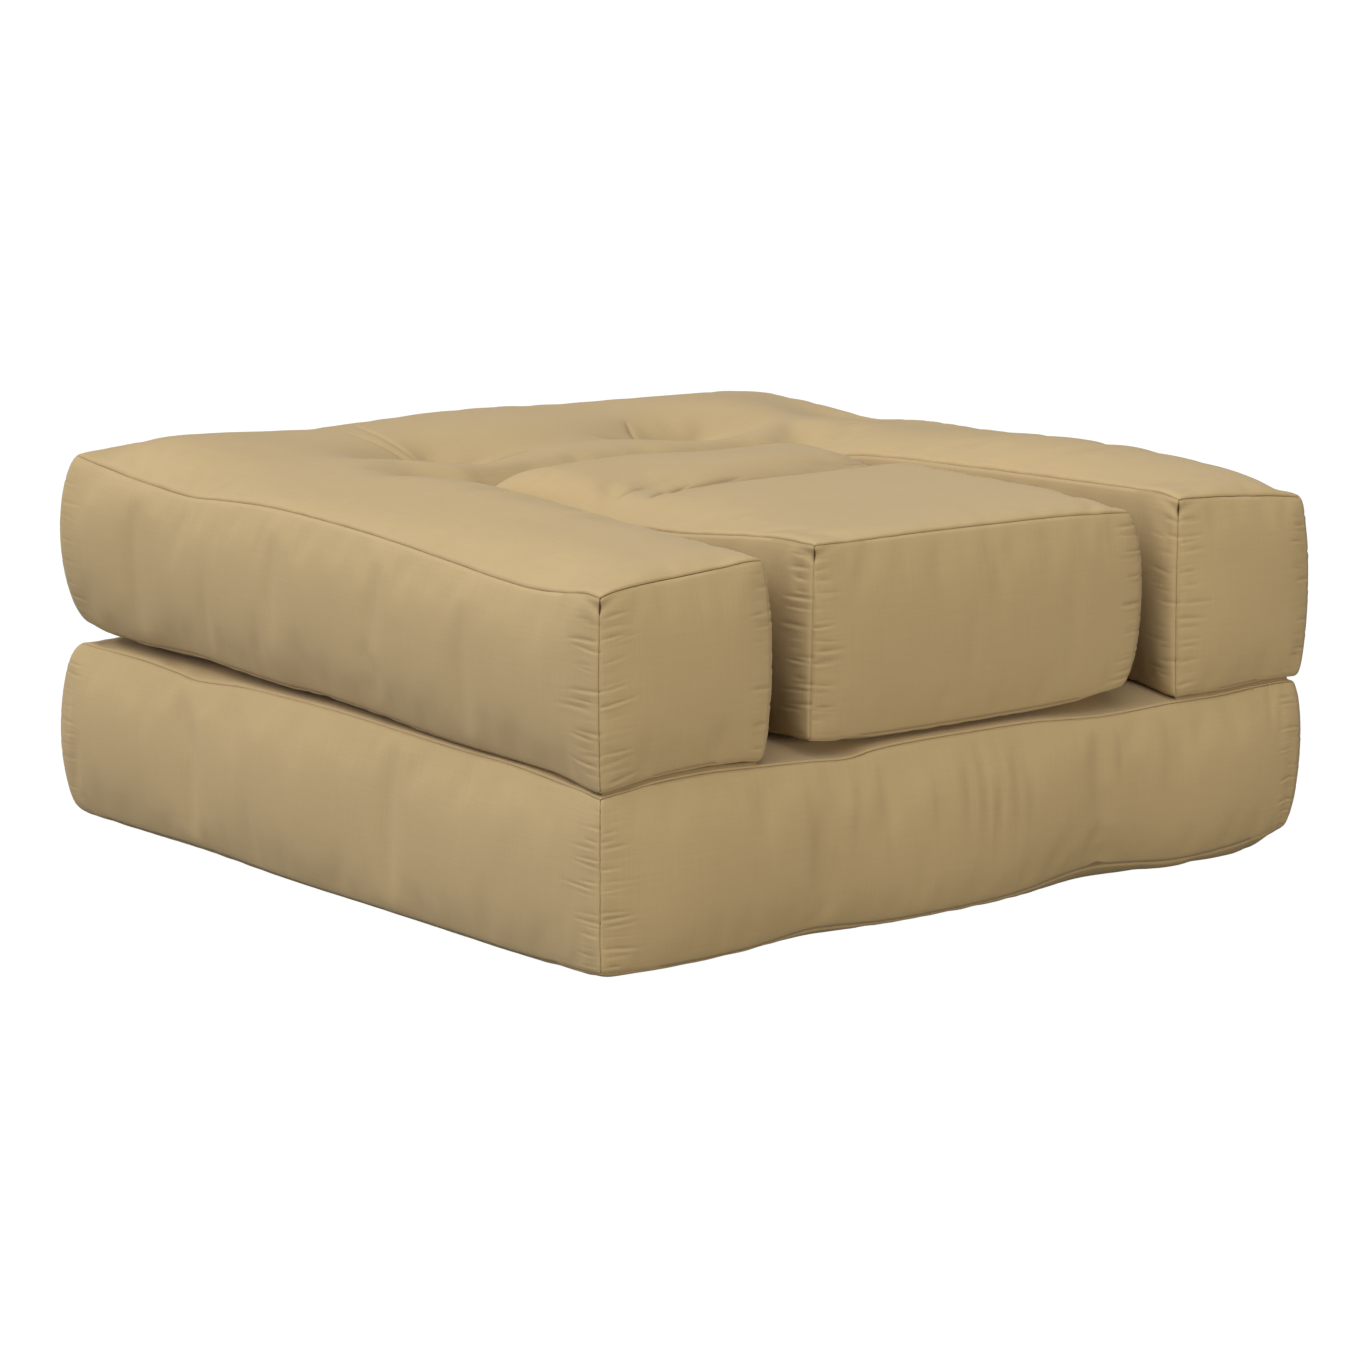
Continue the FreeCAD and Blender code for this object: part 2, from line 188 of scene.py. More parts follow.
def contactHeight(x, y):
    # level where the weight rests, and bent to the hinge line at the front
    front = bell(max(y - frontY, 0.0), frontBend)
    side = leftRise["rise"] * bell(y - leftRise["y"], leftRise["deep"]) * bell(x - leftX, leftRise["wide"])
    return contactZ + (curveAt(hingeLine, x) - contactZ) * front + side * (1 - front)


# ---- one block as a lattice of columns, files and rows

def stations(*legs):
    places = [legs[0][0]]
    for start, end, count in legs:
        places += [start + (end - start) * (n + 1) / count for n in range(count)]
    return places


def blockMesh(plan):
    # a closed box of quads whose points still sit at their column, file and row numbers
    columns, files = len(plan["xs"]) - 1, len(plan["ys"]) - 1
    bm = bmesh.new()
    bmesh.ops.create_grid(bm, x_segments=columns, y_segments=files, size=0.5)
    for vert in bm.verts:
        vert.co = Vector((round((vert.co.x + 0.5) * columns), round((vert.co.y + 0.5) * files), 0))
    if "hole" in plan:
        first, last, end = plan["hole"]
        inside = [f for f in bm.faces if first < f.calc_center_median().x < last
                  and f.calc_center_median().y < end]
        bmesh.ops.delete(bm, geom=inside, context="FACES")
    raised = bmesh.ops.extrude_face_region(bm, geom=bm.faces[:], use_keep_orig=True)
    bmesh.ops.translate(bm, verts=[g for g in raised["geom"] if isinstance(g, bmesh.types.BMVert)],
                        vec=(0, 0, plan["rows"]))
    upright = [e for e in bm.edges if abs(e.verts[0].co.z - e.verts[1].co.z) > 0.5]
    bmesh.ops.subdivide_edges(bm, edges=upright, cuts=plan["rows"] - 1)
    bmesh.ops.recalc_face_normals(bm, faces=bm.faces[:])
    return inOrder(bm)


def inOrder(bm):
    # the same box with its points and faces in a fixed order, so that every run stuffs it alike
    rings = []
    for face in bm.faces:
        ring = [tuple(round(c) for c in vert.co) for vert in face.verts]
        first = ring.index(min(ring))
        rings.append(ring[first:] + ring[:first])
    bm.free()
    box = bmesh.new()
    verts = {spot: box.verts.new(spot) for spot in sorted({spot for ring in rings for spot in ring})}
    for ring in sorted(rings):
        box.faces.new([verts[spot] for spot in ring])
    box.normal_update()
    return box


def wallGap(wall, x, y):
    # plan distance from a point to a wall
    (ax, ay), (bx, by) = wall["start"], wall["end"]
    dx = max(min(ax, bx) - x, 0.0, x - max(ax, bx))
    dy = max(min(ay, by) - y, 0.0, y - max(ay, by))
    return math.hypot(dx, dy)


def along(wall, x, y):
    return x if wall["out"][0] == 0 else y


def seamHeight(walls, gaps, key, x, y):
    # the height of the nearest seams, weighted by nearness
    total = value = 0.0
    for wall, gap in zip(walls, gaps):
        weight = 1.0 / (gap + 1e-5) ** 2
        total += weight
        value += weight * curveAt(wall[key], along(wall, x, y))
    return value / total


puckerWaves = {"counts": (5, 7, 11), "turn": 1.7, "fade": 0.3, "at": 0.45, "wide": 0.33}
dimple = {"cone": 0.45, "steep": 2.6, "bowl": 0.55, "reach": 3}


def puckers(angle, radius, width, seed):
    # little folds that run in to a tuft
    wave = sum(math.sin(angle * n + seed * n * puckerWaves["turn"]) / (1 + puckerWaves["fade"] * k)
               for k, n in enumerate(puckerWaves["counts"]))
    return wave * bell(radius - width * puckerWaves["at"], width * puckerWaves["wide"])


def tuftDrop(tufts, x, y):
    # a bowl with a pointed middle, and its puckers
    drop = 0.0
    for n, tuft in enumerate(tufts):
        dx, dy = (x - tuft["x"]) / tuft.get("stretch", 1.0), y - tuft["y"]
        radius = math.hypot(dx, dy)
        if radius > dimple["reach"] * tuft["width"]:
            continue
        share = radius / tuft["width"]
        drop += tuft["depth"] * (dimple["cone"] * math.exp(-dimple["steep"] * share)
                                 + dimple["bowl"] * math.exp(-share * share))
        drop += tuft["fold"] * puckers(math.atan2(dy, dx), radius, tuft["width"], n + 1)
    return drop


wallReach = {"any": 0.3, "shift": 0.07, "tuck": 0.05}
borderRound = 0.66


def shapeBlock(bm, plan):
    # moves every lattice point to its place on the stuffed block
    walls, rows = plan["walls"], plan["rows"]
    place = {name: bm.verts.layers.float.new(name) for name in ("column", "file", "row", "pinned")}
    for vert in bm.verts:
        i, j, k = (int(round(c)) for c in vert.co)
        vert[place["column"]], vert[place["file"]], vert[place["row"]] = i, j, k
        x, y, share = plan["xs"][i], plan["ys"][j], k / rows
        gaps = [wallGap(wall, x, y) for wall in walls]
        own = [wall for wall, gap in zip(walls, gaps) if gap < 1e-6]
        low = seamHeight(walls, gaps, "low", x, y)
        top = seamHeight(walls, gaps, "top", x, y)
        shiftX = shiftY = 0.0
        for wall, gap in zip(walls, gaps):
            if gap < wallReach["any"]:
                shift = curveAt(wall["shift"], along(wall, x, y)) * math.exp(-gap / wallReach["shift"])
                if k < rows:
                    tuck = curveAt(wall["tuck"], along(wall, x, y)) * math.exp(-gap / wallReach["tuck"])
                    shift -= tuck * (1 - share) ** 2 if gap < 1e-6 else tuck
                shiftX += wall["out"][0] * shift
                shiftY += wall["out"][1] * shift
        if own:
            z = low + (top - low) * share
            for wall in own:
                belly = share ** wall.get("lean", 1.0)
                out = curveAt(wall["bulge"], along(wall, x, y)) * swellOf(
                    1 - abs(2 * belly - 1), borderRound) if 0 < k < rows else 0.0
                shiftX += wall["out"][0] * out
                shiftY += wall["out"][1] * out
        else:
            full = 1.0
            for wall, gap in zip(walls, gaps):
                full *= swellOf(gap / curveAt(wall["run"], along(wall, x, y)), plan["puff"])
            if k == rows:
                z = top + plan["crown"](x, y, full, top)
            else:
                z = low - plan["belly"](x, y, full, low)
        vert.co = Vector((x + shiftX, y + shiftY, z))
        corner = len(own) > 1
        seam = bool(own) and k in (0, rows)
        vert[place["pinned"]] = 1.0 if corner or seam else 0.0
    for edge in bm.edges:
        a, b = edge.verts
        edge.seam = (min(a[place["pinned"]], b[place["pinned"]]) > 0.5
                     and (a[place["row"]] != b[place["row"]] or isRim(edge, place["row"])))
    return bm


def isRim(edge, row):
    # a horizontal seam edge has one panel face and one border face
    kinds = {all(abs(v[row] - face.verts[0][row]) < 0.5 for v in face.verts) for face in edge.link_faces}
    return kinds == {True, False}


def clampBlock(mesh, plan):
    # flattens a block on what it rests on, and under what rests on it
    for vert in mesh.vertices:
        x, y, z = vert.co
        if plan["layer"] == "lower":
            z = softFloor(z, floorGap, plan["settle"])
            z = -softFloor(-z, contactGap - contactHeight(x, y), plan["settle"])
        else:
            z = softFloor(z, contactHeight(x, y) + contactGap, plan["settle"])
        vert.co.z = z


def newObject(name, bm):
    mesh = bpy.data.meshes.new(name)
    bm.to_mesh(mesh)
    bm.free()
    obj = bpy.data.objects.new(name, mesh)
    bpy.context.scene.collection.objects.link(obj)
    return obj


def applyModifiers(obj):
    graph = bpy.context.evaluated_depsgraph_get()
    mesh = bpy.data.meshes.new_from_object(obj.evaluated_get(graph))
    obj.modifiers.clear()
    old = obj.data
    obj.data = mesh
    bpy.data.meshes.remove(old)
    mesh.name = obj.name


# ---- stuffing: pressure in the cover, with its seams and tufts held

stuffing = {"pressure": 4.0, "frames": 16, "quality": 5, "tension": 18.0, "bending": 0.9, "ease": -0.012,
            "cap": 0.004}


def stuff(obj):
    # lets the cover swell for a few frames, and keeps each point's move under the cap
    scene = bpy.context.scene
    start = [v.co.copy() for v in obj.data.vertices]
    pins = obj.vertex_groups.new(name="held")
    for n, held in enumerate(obj.data.attributes["pinned"].data):
        if held.value > 0.01:
            pins.add([n], held.value, "REPLACE")
    cloth = obj.modifiers.new("stuffing", "CLOTH")
    cloth.settings.quality = stuffing["quality"]
    cloth.settings.use_pressure = True
    cloth.settings.uniform_pressure_force = stuffing["pressure"]
    cloth.settings.effector_weights.gravity = 0.0
    cloth.settings.vertex_group_mass = "held"
    cloth.settings.tension_stiffness = stuffing["tension"]
    cloth.settings.compression_stiffness = stuffing["tension"]
    cloth.settings.bending_stiffness = stuffing["bending"]
    cloth.settings.shrink_min = stuffing["ease"]
    cloth.collision_settings.use_collision = False
    cloth.point_cache.frame_start, cloth.point_cache.frame_end = 1, stuffing["frames"]
    for n in range(1, stuffing["frames"] + 1):
        scene.frame_set(n)
    graph = bpy.context.evaluated_depsgraph_get()
    swollen = [v.co.copy() for v in obj.evaluated_get(graph).data.vertices]
    obj.modifiers.remove(cloth)
    scene.frame_set(1)
    cap, most = stuffing["cap"], 0.0
    for vert, before, after in zip(obj.data.vertices, start, swollen):
        move = after - before
        most = max(most, move.length)
        if move.length > 1e-9:
            move *= cap * math.tanh(move.length / cap) / move.length
        vert.co = before + move
    print(obj.name, "stuffed, furthest move", round(most * 1000, 1), "mm")


# ---- cover details: gathers at upright seams, then the seams themselves

cornerReach = 0.062


def refineCorners(obj, plan):
    # closer rows beside the upright seams, for the gathers
    bm = bmesh.new()
    bm.from_mesh(obj.data)
    row, column, file = (bm.verts.layers.float[n] for n in ("row", "column", "file"))
    near = set()
    for vert in bm.verts:
        x, y = latticePlace(plan["xs"], vert[column]), latticePlace(plan["ys"], vert[file])
        if any(math.hypot(x - c["x"], y - c["y"]) < cornerReach for c in plan["corners"]):
            near.add(vert)
    upright = [e for e in bm.edges if abs(e.verts[0][row] - e.verts[1][row]) > 0.2
               and e.verts[0] in near and e.verts[1] in near]
    bmesh.ops.subdivide_edges(bm, edges=upright, cuts=3)
    bm.to_mesh(obj.data)
    bm.free()


# near and least pick the points round a crease to refine; the other two set the crease depth where its
# painted shade is full, and the most painted shade
creaseLook = {"near": 0.006, "least": 0.12, "fullPaintedShadeAt": 0.006, "mostPaintedShade": 0.8}


def pressCreases(obj, plan):
    # a finer top panel round its creases, which are then pressed in, with painted shade along each crease
    # kept in the fold attribute
    creases = plan.get("creases", [])
    bm = bmesh.new()
    bm.from_mesh(obj.data)
    row = bm.verts.layers.float["row"]
    dark = bm.verts.layers.float.new("fold")
    broad = [dict(fold, width=creaseLook["near"], depth=1.0) for fold in creases]
    near = {v for v in bm.verts if v[row] > plan["rows"] - 0.01
            and creaseDrop(broad, v.co.x, v.co.y) > creaseLook["least"]}
    edges = [e for e in bm.edges if e.verts[0] in near and e.verts[1] in near]
    if edges:
        bmesh.ops.subdivide_edges(bm, edges=edges, cuts=3, use_grid_fill=True)
    for vert in bm.verts:
        if vert[row] > plan["rows"] - 0.01:
            drop = creaseDrop(creases, vert.co.x, vert.co.y)
            vert.co.z -= drop
            # painted shade: the deeper the crease, the darker its cloth
            vert[dark] = min(drop / creaseLook["fullPaintedShadeAt"], creaseLook["mostPaintedShade"])
    bm.to_mesh(obj.data)
    bm.free()


sidewaysShare = 0.55
notch = {"at": 0.938, "width": 0.0045, "slope": -0.30, "length": 0.013}
pleatRim = {"share": 0.5, "at": 2.2, "wide": 1.8}
# the pleat depth whose fold gets full painted shade
pleatFullShadeDepth = 0.0014
# dark: the painted shade in a pulled fold of a front border
foldRim = {"share": 0.4, "wide": 2.6, "dark": 0.5}
# painted shade deep in the slits: it grows over the first 5 cm behind the front and lessens upward
slitPaintedShadeReach = {"from": -0.004, "to": 0.05, "up": 0.6}
cornerFar, foldFar, shadeMost = 0.12, 0.08, 1.8


def pleatShape(pleat, drift, reach):
    # a sharp fold with a raised rim beside it, and how much of it is left this far from the seam
    width = pleat["width"]
    press = math.exp(-abs(drift) / width) - pleatRim["share"] * bell(
        drift + pleatRim["at"] * width, pleatRim["wide"] * width)
    left = 1 - fade(0.25, 1.0, (reach - pleat["start"]) / pleat["length"])
    if pleat["start"] > 0:
        left *= fade(-0.006, 0.005, reach - pleat["start"])
    return press, left


def seamFolds(obj, plan):
    # pleats beside the upright seams and pulls in a front border, with painted shade in their folds and at
    # the notch, and painted shade deep in a slit
    mesh = obj.data
    rows, columns, files, dark = (mesh.attributes[n].data for n in ("row", "column", "file", "fold"))
    normals = [v.normal.copy() for v in mesh.vertices]
    for index, vert in enumerate(mesh.vertices):
        row = rows[index].value
        if row < 0.01 or row > plan["rows"] - 0.01:
            continue
        x = latticePlace(plan["xs"], columns[index].value)
        y = latticePlace(plan["ys"], files[index].value)
        share = row / plan["rows"]
        move = shade = 0.0
        for corner in plan["corners"]:
            reach = math.hypot(x - corner["x"], y - corner["y"])
            if reach > cornerFar:
                continue
            side = 0 if abs(x - corner["x"]) > abs(y - corner["y"]) else 1
            strength = corner.get("sideways", sidewaysShare) if side else 1.0
            for pleat in corner["pleats"][side]:
                drift = (share - pleat["at"]) * plan["height"] - pleat["slope"] * reach
                if abs(drift) < 7 * pleat["width"] and reach < pleat["start"] + pleat["length"]:
                    press, left = pleatShape(pleat, drift, reach)
                    move -= strength * pleat["depth"] * press * left
                    # painted shade in the pleat's fold
                    shade += max(press, 0.0) * left * min(pleat["depth"] / pleatFullShadeDepth, 1.0)
            drift = (share - notch["at"]) * plan["height"] + notch["slope"] * reach
            pinch = bell(drift, notch["width"]) * math.exp(-reach / notch["length"])
            move -= corner.get("notch", 0.0) * pinch
            # painted shade in the pinch of the notch
            shade += pinch if "notch" in corner else 0.0
        if abs(y - frontY) < 1e-4:
            for fold in plan.get("folds", []):
                gap = x - fold["x"] - fold["slope"] * (share - fold["at"]) * plan["height"]
                if abs(x - fold["x"]) < foldFar:
                    height = bell(share - fold["at"], fold["tall"])
                    press = math.exp(-abs(gap) / fold["width"])
                    move -= fold["depth"] * height * (
                        press - foldRim["share"] * bell(gap, foldRim["wide"] * fold["width"]))
                    # painted shade in the pulled fold
                    shade += foldRim["dark"] * height * press
        # painted shade on the walls inside a slit, where the slit's own shadow falls
        if y < backY and any(abs(x - side) < 1e-4 for side in plan.get("slits", ())):
            deep = fade(frontY + slitPaintedShadeReach["from"], frontY + slitPaintedShadeReach["to"], y)
            shade += plan["paintedSlitShade"] * deep * (1 - slitPaintedShadeReach["up"] * share)
        # the fold attribute holds all this painted shade
        dark[index].value = min(shade, shadeMost)
        vert.co += normals[index] * move
    mesh.update()


def latticePlace(stationList, number):
    n = min(int(number), len(stationList) - 2)
    return stationList[n] + (stationList[n + 1] - stationList[n]) * (number - n)


def makePleats(seed, count, depth, length, through=0.3):
    # two rows of short folds of uneven strength, a few of them running through the seam
    rng = random.Random(seed)
    sides = []
    heights = [0.03 + 0.90 * (n + 0.5 + rng.uniform(-0.45, 0.45)) / count for n in range(count)]
    for side in range(2):
        pleats = []
        for at in heights:
            strength = rng.uniform(0.15, 1.0) ** 1.3
            pleats.append({
                "at": at + rng.uniform(-0.012, 0.012), "depth": depth * strength,
                "start": 0.0 if rng.random() < through else rng.uniform(0.002, 0.011),
                "length": length * rng.uniform(0.45, 1.5), "width": rng.uniform(0.0010, 0.0016),
                "slope": rng.uniform(-0.06, 0.14)})
        sides.append(pleats)
    return sides


seamLook = {"width": 0.0009, "depth": 0.0021, "uprightDepth": 0.0010, "upright": 0.33, "notchDepth": 0.005,
            "notchTall": 0.0042}


def sewSeams(obj, plan):
    # opens every seam into a narrow groove, and marks its deepest line with painted shade
    bm = bmesh.new()
    bm.from_mesh(obj.data)
    mark = bm.verts.layers.float.new("seam")
    sewn = bm.verts.layers.float.new("sewn")
    edges = [e for e in bm.edges if e.seam]
    made = bmesh.ops.bevel(bm, geom=edges, affect="EDGES", offset=seamLook["width"], offset_type="OFFSET",
                           segments=2, profile=0.5, material=-1, loop_slide=True)
    fresh = set(made["faces"])
    bm.normal_update()
    deep = [v for v in made["verts"] if v.is_valid and all(f in fresh for f in v.link_faces)]
    moves = [(v, v.normal.copy()) for v in deep]
    row, column, file = (bm.verts.layers.float[n] for n in ("row", "column", "file"))
    for vert, normal in moves:
        upright = 0.02 < vert[row] < plan["rows"] - 0.02
        depth = seamLook["uprightDepth"] if upright else seamLook["depth"]
        # painted shade along the groove, weaker on upright seams
        vert[mark], vert[sewn] = seamLook["upright"] if upright else 1.0, 1.0
        for corner in plan["corners"]:
            away = abs(vert[column] - corner["column"]) + abs(vert[file] - corner["file"])
            if "notch" in corner and away < 0.3:
                drift = (vert[row] / plan["rows"] - notch["at"]) * plan["height"]
                slot = bell(drift, seamLook["notchTall"])
                depth += seamLook["notchDepth"] * slot
                # painted shade in the notch's slot and round it
                vert[mark] = max(vert[mark], slot)
                for edge in vert.link_edges:
                    beside = edge.other_vert(vert)
                    beside[mark] = max(beside[mark], 0.5 * slot)
        vert.co -= normal * depth
    bm.to_mesh(obj.data)
    bm.free()
    print(obj.name, "seams sewn:", len(edges), "edges,", len(deep), "deep points")


def weaveMap(obj, plan):
    # lays the cloth's own grain on each panel and border, in metres
    mesh = obj.data
    layer = mesh.uv_layers.new(name="weave")
    row, column = (mesh.attributes[n].data for n in ("row", "column"))
    for polygon in mesh.polygons:
        rows = [row[v].value for v in polygon.vertices]
        flat = max(rows) < 0.01 or min(rows) > plan["rows"] - 0.01
        columns = [column[v].value for v in polygon.vertices]
        sideways = max(columns) - min(columns) < 0.01
        for loop in polygon.loop_indices:
            x, y, z = mesh.vertices[mesh.loops[loop].vertex_index].co
            layer.data[loop].uv = (x, y) if flat else (y, z) if sideways else (x, z)


def splitBorder(obj, name, low, high, middle, depth):
    # cuts the front border found between two columns out along its seams as a closed piece, and
    # closes the block behind it
    pieces = []
    for keep in (True, False):
        bm = bmesh.new()
        bm.from_mesh(obj.data)
        sewn = bm.verts.layers.float["sewn"]
        inside = [f for f in bm.faces if f.normal.y < -0.7 and low < f.calc_center_median().x < high
                  and abs(f.calc_center_median().z - middle) < 0.02]
        found, edge = set(inside), list(inside)
        while edge:
            face = edge.pop()
            for side in face.edges:
                if side.verts[0][sewn] > 0.5 and side.verts[1][sewn] > 0.5:
                    continue
                for other in side.link_faces:
                    if other not in found:
                        found.add(other)
                        edge.append(other)
        away = [f for f in bm.faces if (f in found) != keep]
        bmesh.ops.delete(bm, geom=away, context="FACES")
        rim = [e for e in bm.edges if e.is_boundary]
        step = bmesh.ops.extrude_edge_only(bm, edges=rim)["geom"]
        verts = [g for g in step if isinstance(g, bmesh.types.BMVert)]
        shut = 0.0015 if keep else depth
        for vert in verts:
            vert.co.y = max(vert.co.y + 0.0006, frontY + 0.003 + shut)
        bmesh.ops.holes_fill(bm, edges=[e for e in bm.edges if e.is_boundary], sides=0)
        bmesh.ops.recalc_face_normals(bm, faces=bm.faces[:])
        pieces.append((bm, len(found)))
    (cut, count), (rest, _) = pieces
    border = newObject(name, cut)
    rest.to_mesh(obj.data)
    rest.free()
    print(name, "cut from", obj.name, "-", count, "faces")
    return border


def finishBlock(name, plan):
    # a stuffed and sewn cover, made from its plan
    bm = shapeBlock(blockMesh(plan), plan)
    obj = newObject(name, bm)
    clampBlock(obj.data, plan)
    stuff(obj)
    clampBlock(obj.data, plan)
    smooth = obj.modifiers.new("smooth", "SUBSURF")
    smooth.levels = smooth.render_levels = 1
    applyModifiers(obj)
    refineCorners(obj, plan)
    pressCreases(obj, plan)
    seamFolds(obj, plan)
    clampBlock(obj.data, plan)
    weaveMap(obj, plan)
    sewSeams(obj, plan)
    for polygon in obj.data.polygons:
        polygon.use_smooth = True
    return obj


def wall(start, end, out, top, low, bulge, shift=0.0, tuck=0.0, run=0.09, **extra):
    # one side of a block, each value a line along it: the heights of its seams, how far it bulges, how
    # far it is moved out and its foot back in, and how wide the panels slope beside it
    listed = {"top": top, "low": low, "bulge": bulge, "shift": shift, "tuck": tuck, "run": run}
    made = {key: value if isinstance(value, list) else [(0.0, value)] for key, value in listed.items()}
    made.update(start=start, end=end, out=out, **extra)
    return made


# ---- lower block

baseColumns, baseRows = tuftPlaces("base_tuft_twines")
baseTufts = [{"x": x, "y": y, "depth": 0.022, "width": 0.062, "fold": 0.0012}
             for x in baseColumns for y in baseRows]


def baseCrown(x, y, full, level):
    return 0.022 * full ** 3 - tuftDrop(baseTufts, x, y)


def baseBelly(x, y, full, level):
    return 0.030 * full - tuftDrop(baseTufts, x, y)


def cornerOf(plan, side, end, **look):
    # an upright seam at one end of the columns and one end of the files
    column, file = side * (len(plan["xs"]) - 1), end * (len(plan["ys"]) - 1)
    return dict(look, column=column, file=file, x=plan["xs"][column], y=plan["ys"][file])


edgeBand = 0.05
basePlan = {
    "layer": "lower",
    "xs": stations((leftX, leftX + edgeBand, 7), (leftX + edgeBand, rightX - edgeBand, 70),
                   (rightX - edgeBand, rightX, 7)),
    "ys": stations((frontY, frontY + edgeBand, 7), (frontY + edgeBand, rearY - edgeBand, 66),
                   (rearY - edgeBand, rearY, 7)),
    "rows": 18, "height": contactZ, "puff": 0.62, "settle": 0.002,
    "crown": baseCrown, "belly": baseBelly,
}
rightPlaces = (-0.454, -0.3, -0.126, 0.05, 0.212, 0.35, 0.446)
rearPlaces = (-0.45, -0.3, -0.192, 0.0, 0.176, 0.33, 0.45)
basePlan["walls"] = [
    wall((leftX, frontY), (rightX, frontY), (0, -1), hingeLine,
         [(-0.45, 0.007), (-0.38, 0.003), (-0.27, 0.003), (-0.195, 0.009), (-0.11, 0.005), (0.05, 0.007),
          (0.17, 0.017), (0.28, 0.011), (0.40, 0.019), (0.45, 0.029)],
         [(-0.45, 0.006), (-0.36, 0.016), (-0.19, 0.014), (0.0, 0.018), (0.17, 0.014), (0.34, 0.014),
          (0.45, 0.006)], shift=0.002,
         tuck=[(-0.45, -0.010), (-0.36, -0.012), (-0.19, 0.0), (-0.08, -0.008), (0.05, -0.006), (0.17, 0.008),
               (0.30, -0.003), (0.45, 0.0)], lean=1.15),
    wall((rightX, frontY), (rightX, rearY), (1, 0),
         line(rightPlaces, 0.176, 0.183, 0.178, 0.186, 0.177, 0.183, 0.180),
         line(rightPlaces, 0.020, 0.010, 0.016, 0.009, 0.016, 0.009, 0.014),
         line(rightPlaces, 0.011, 0.018, 0.015, 0.020, 0.015, 0.019, 0.012),
         shift=[(-0.454, -0.011), (-0.38, -0.004), (-0.25, 0.0)],
         tuck=[(-0.454, 0.010), (-0.3, 0.0), (-0.126, 0.004), (0.05, -0.004), (0.212, 0.004), (0.446, 0.0)]),
    wall((leftX, rearY), (rightX, rearY), (0, 1),
         line(rearPlaces, 0.182, 0.186, 0.179, 0.187, 0.179, 0.184, 0.180),
         line(rearPlaces, 0.012, 0.009, 0.016, 0.009, 0.016, 0.009, 0.014),
         line(rearPlaces, 0.016, 0.019, 0.015, 0.021, 0.015, 0.019, 0.011),
         tuck=line(rearPlaces, 0.0, -0.004, 0.004, -0.004, 0.004, -0.004, 0.0)),
    wall((leftX, frontY), (leftX, rearY), (-1, 0),
         [(-0.454, 0.1765), (-0.42, 0.179), (-0.376, 0.181), (-0.30, 0.186), (-0.218, 0.185), (-0.072, 0.191),
          (0.04, 0.192), (0.10, 0.190), (0.147, 0.185), (0.228, 0.178), (0.27, 0.181), (0.342, 0.184),
          (0.446, 0.184)],
         [(-0.454, 0.007), (-0.34, 0.002), (-0.25, 0.002), (-0.127, 0.001), (0.04, 0.001), (0.212, 0.004),
          (0.33, 0.002), (0.446, 0.004)],
         [(-0.454, 0.005), (-0.36, 0.014), (-0.2, 0.016), (-0.127, 0.015), (0.04, 0.020), (0.212, 0.016),
          (0.34, 0.020), (0.446, 0.0185)], shift=[(0.30, 0.0), (0.446, 0.003)],
         tuck=[(-0.454, -0.008), (-0.3, -0.010), (-0.127, -0.009), (0.04, -0.011), (0.212, -0.008),
               (0.446, -0.008)], lean=1.15),
]
basePlan["corners"] = [
    cornerOf(basePlan, 0, 0, pleats=makePleats(3, 17, 0.0018, 0.028)),
    cornerOf(basePlan, 1, 0, pleats=makePleats(5, 17, 0.0014, 0.024)),
    cornerOf(basePlan, 1, 1, pleats=makePleats(7, 17, 0.0014, 0.026)),
    cornerOf(basePlan, 0, 1, pleats=makePleats(9, 17, 0.0014, 0.026)),
]
pulls = random.Random(61)
basePlan["folds"] = [
    {"x": x + pulls.uniform(-0.004, 0.004), "at": at, "tall": tall, "depth": depth * pulls.uniform(0.7, 1.2),
     "width": pulls.uniform(0.0030, 0.0045), "slope": pulls.uniform(-0.08, 0.16)}
    for x, at, tall, depth in (
        (-0.016, 0.66, 0.20, 0.0040), (0.006, 0.62, 0.24, 0.0052), (0.024, 0.57, 0.26, 0.0050),
        (0.044, 0.60, 0.24, 0.0048), (0.066, 0.58, 0.20, 0.0034), (-0.150, 0.70, 0.20, 0.0014),
        (-0.118, 0.62, 0.24, 0.0012), (-0.210, 0.64, 0.26, 0.0012), (-0.052, 0.68, 0.18, 0.0020),
        (0.185, 0.74, 0.16, 0.0012), (0.250, 0.66, 0.20, 0.0009))]

baseCover = finishBlock("baseCover", basePlan)
print("lower block done:", len(baseCover.data.polygons), "faces")

# ---- upper block

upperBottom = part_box("upper_bottom_panel")[0].z
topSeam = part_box("left_arm_front_border")[1].z
heightUpper = topSeam - upperBottom
(tuftLeft, tuftRight), (tuftRow,) = tuftPlaces("upper_tuft_twines")
upperTufts = [{"x": tuftLeft, "y": tuftRow, "depth": 0.034, "width": 0.074, "fold": 0.0020, "stretch": 1.15},
              {"x": tuftRight, "y": tuftRow, "depth": 0.040, "width": 0.080, "fold": 0.0020, "stretch": 1.1}]
upperHills = hills(
    (-0.37, 0.37, 0.12, 0.13, 0.013), (-0.28, -0.06, 0.08, 0.26, 0.014), (-0.06, 0.40, 0.14, 0.10, 0.003),
    (0.06, 0.145, 0.17, 0.032, -0.007), (0.12, 0.40, 0.07, 0.10, -0.003), (0.30, 0.42, 0.10, 0.10, -0.007),
    (0.43, 0.27, 0.08, 0.13, -0.027), (0.42, 0.08, 0.12, 0.15, -0.010), (0.37, -0.26, 0.12, 0.18, 0.011))


def pullsTo(tuft, *folds):
    # creases that run in to a tuft; each is a start beside it, how near it ends, and its look
    return [crease((tuft["x"] + dx, tuft["y"] + dy), (tuft["x"] + near * dx, tuft["y"] + near * dy), depth,
                   width, bow) for dx, dy, near, depth, width, bow in folds]


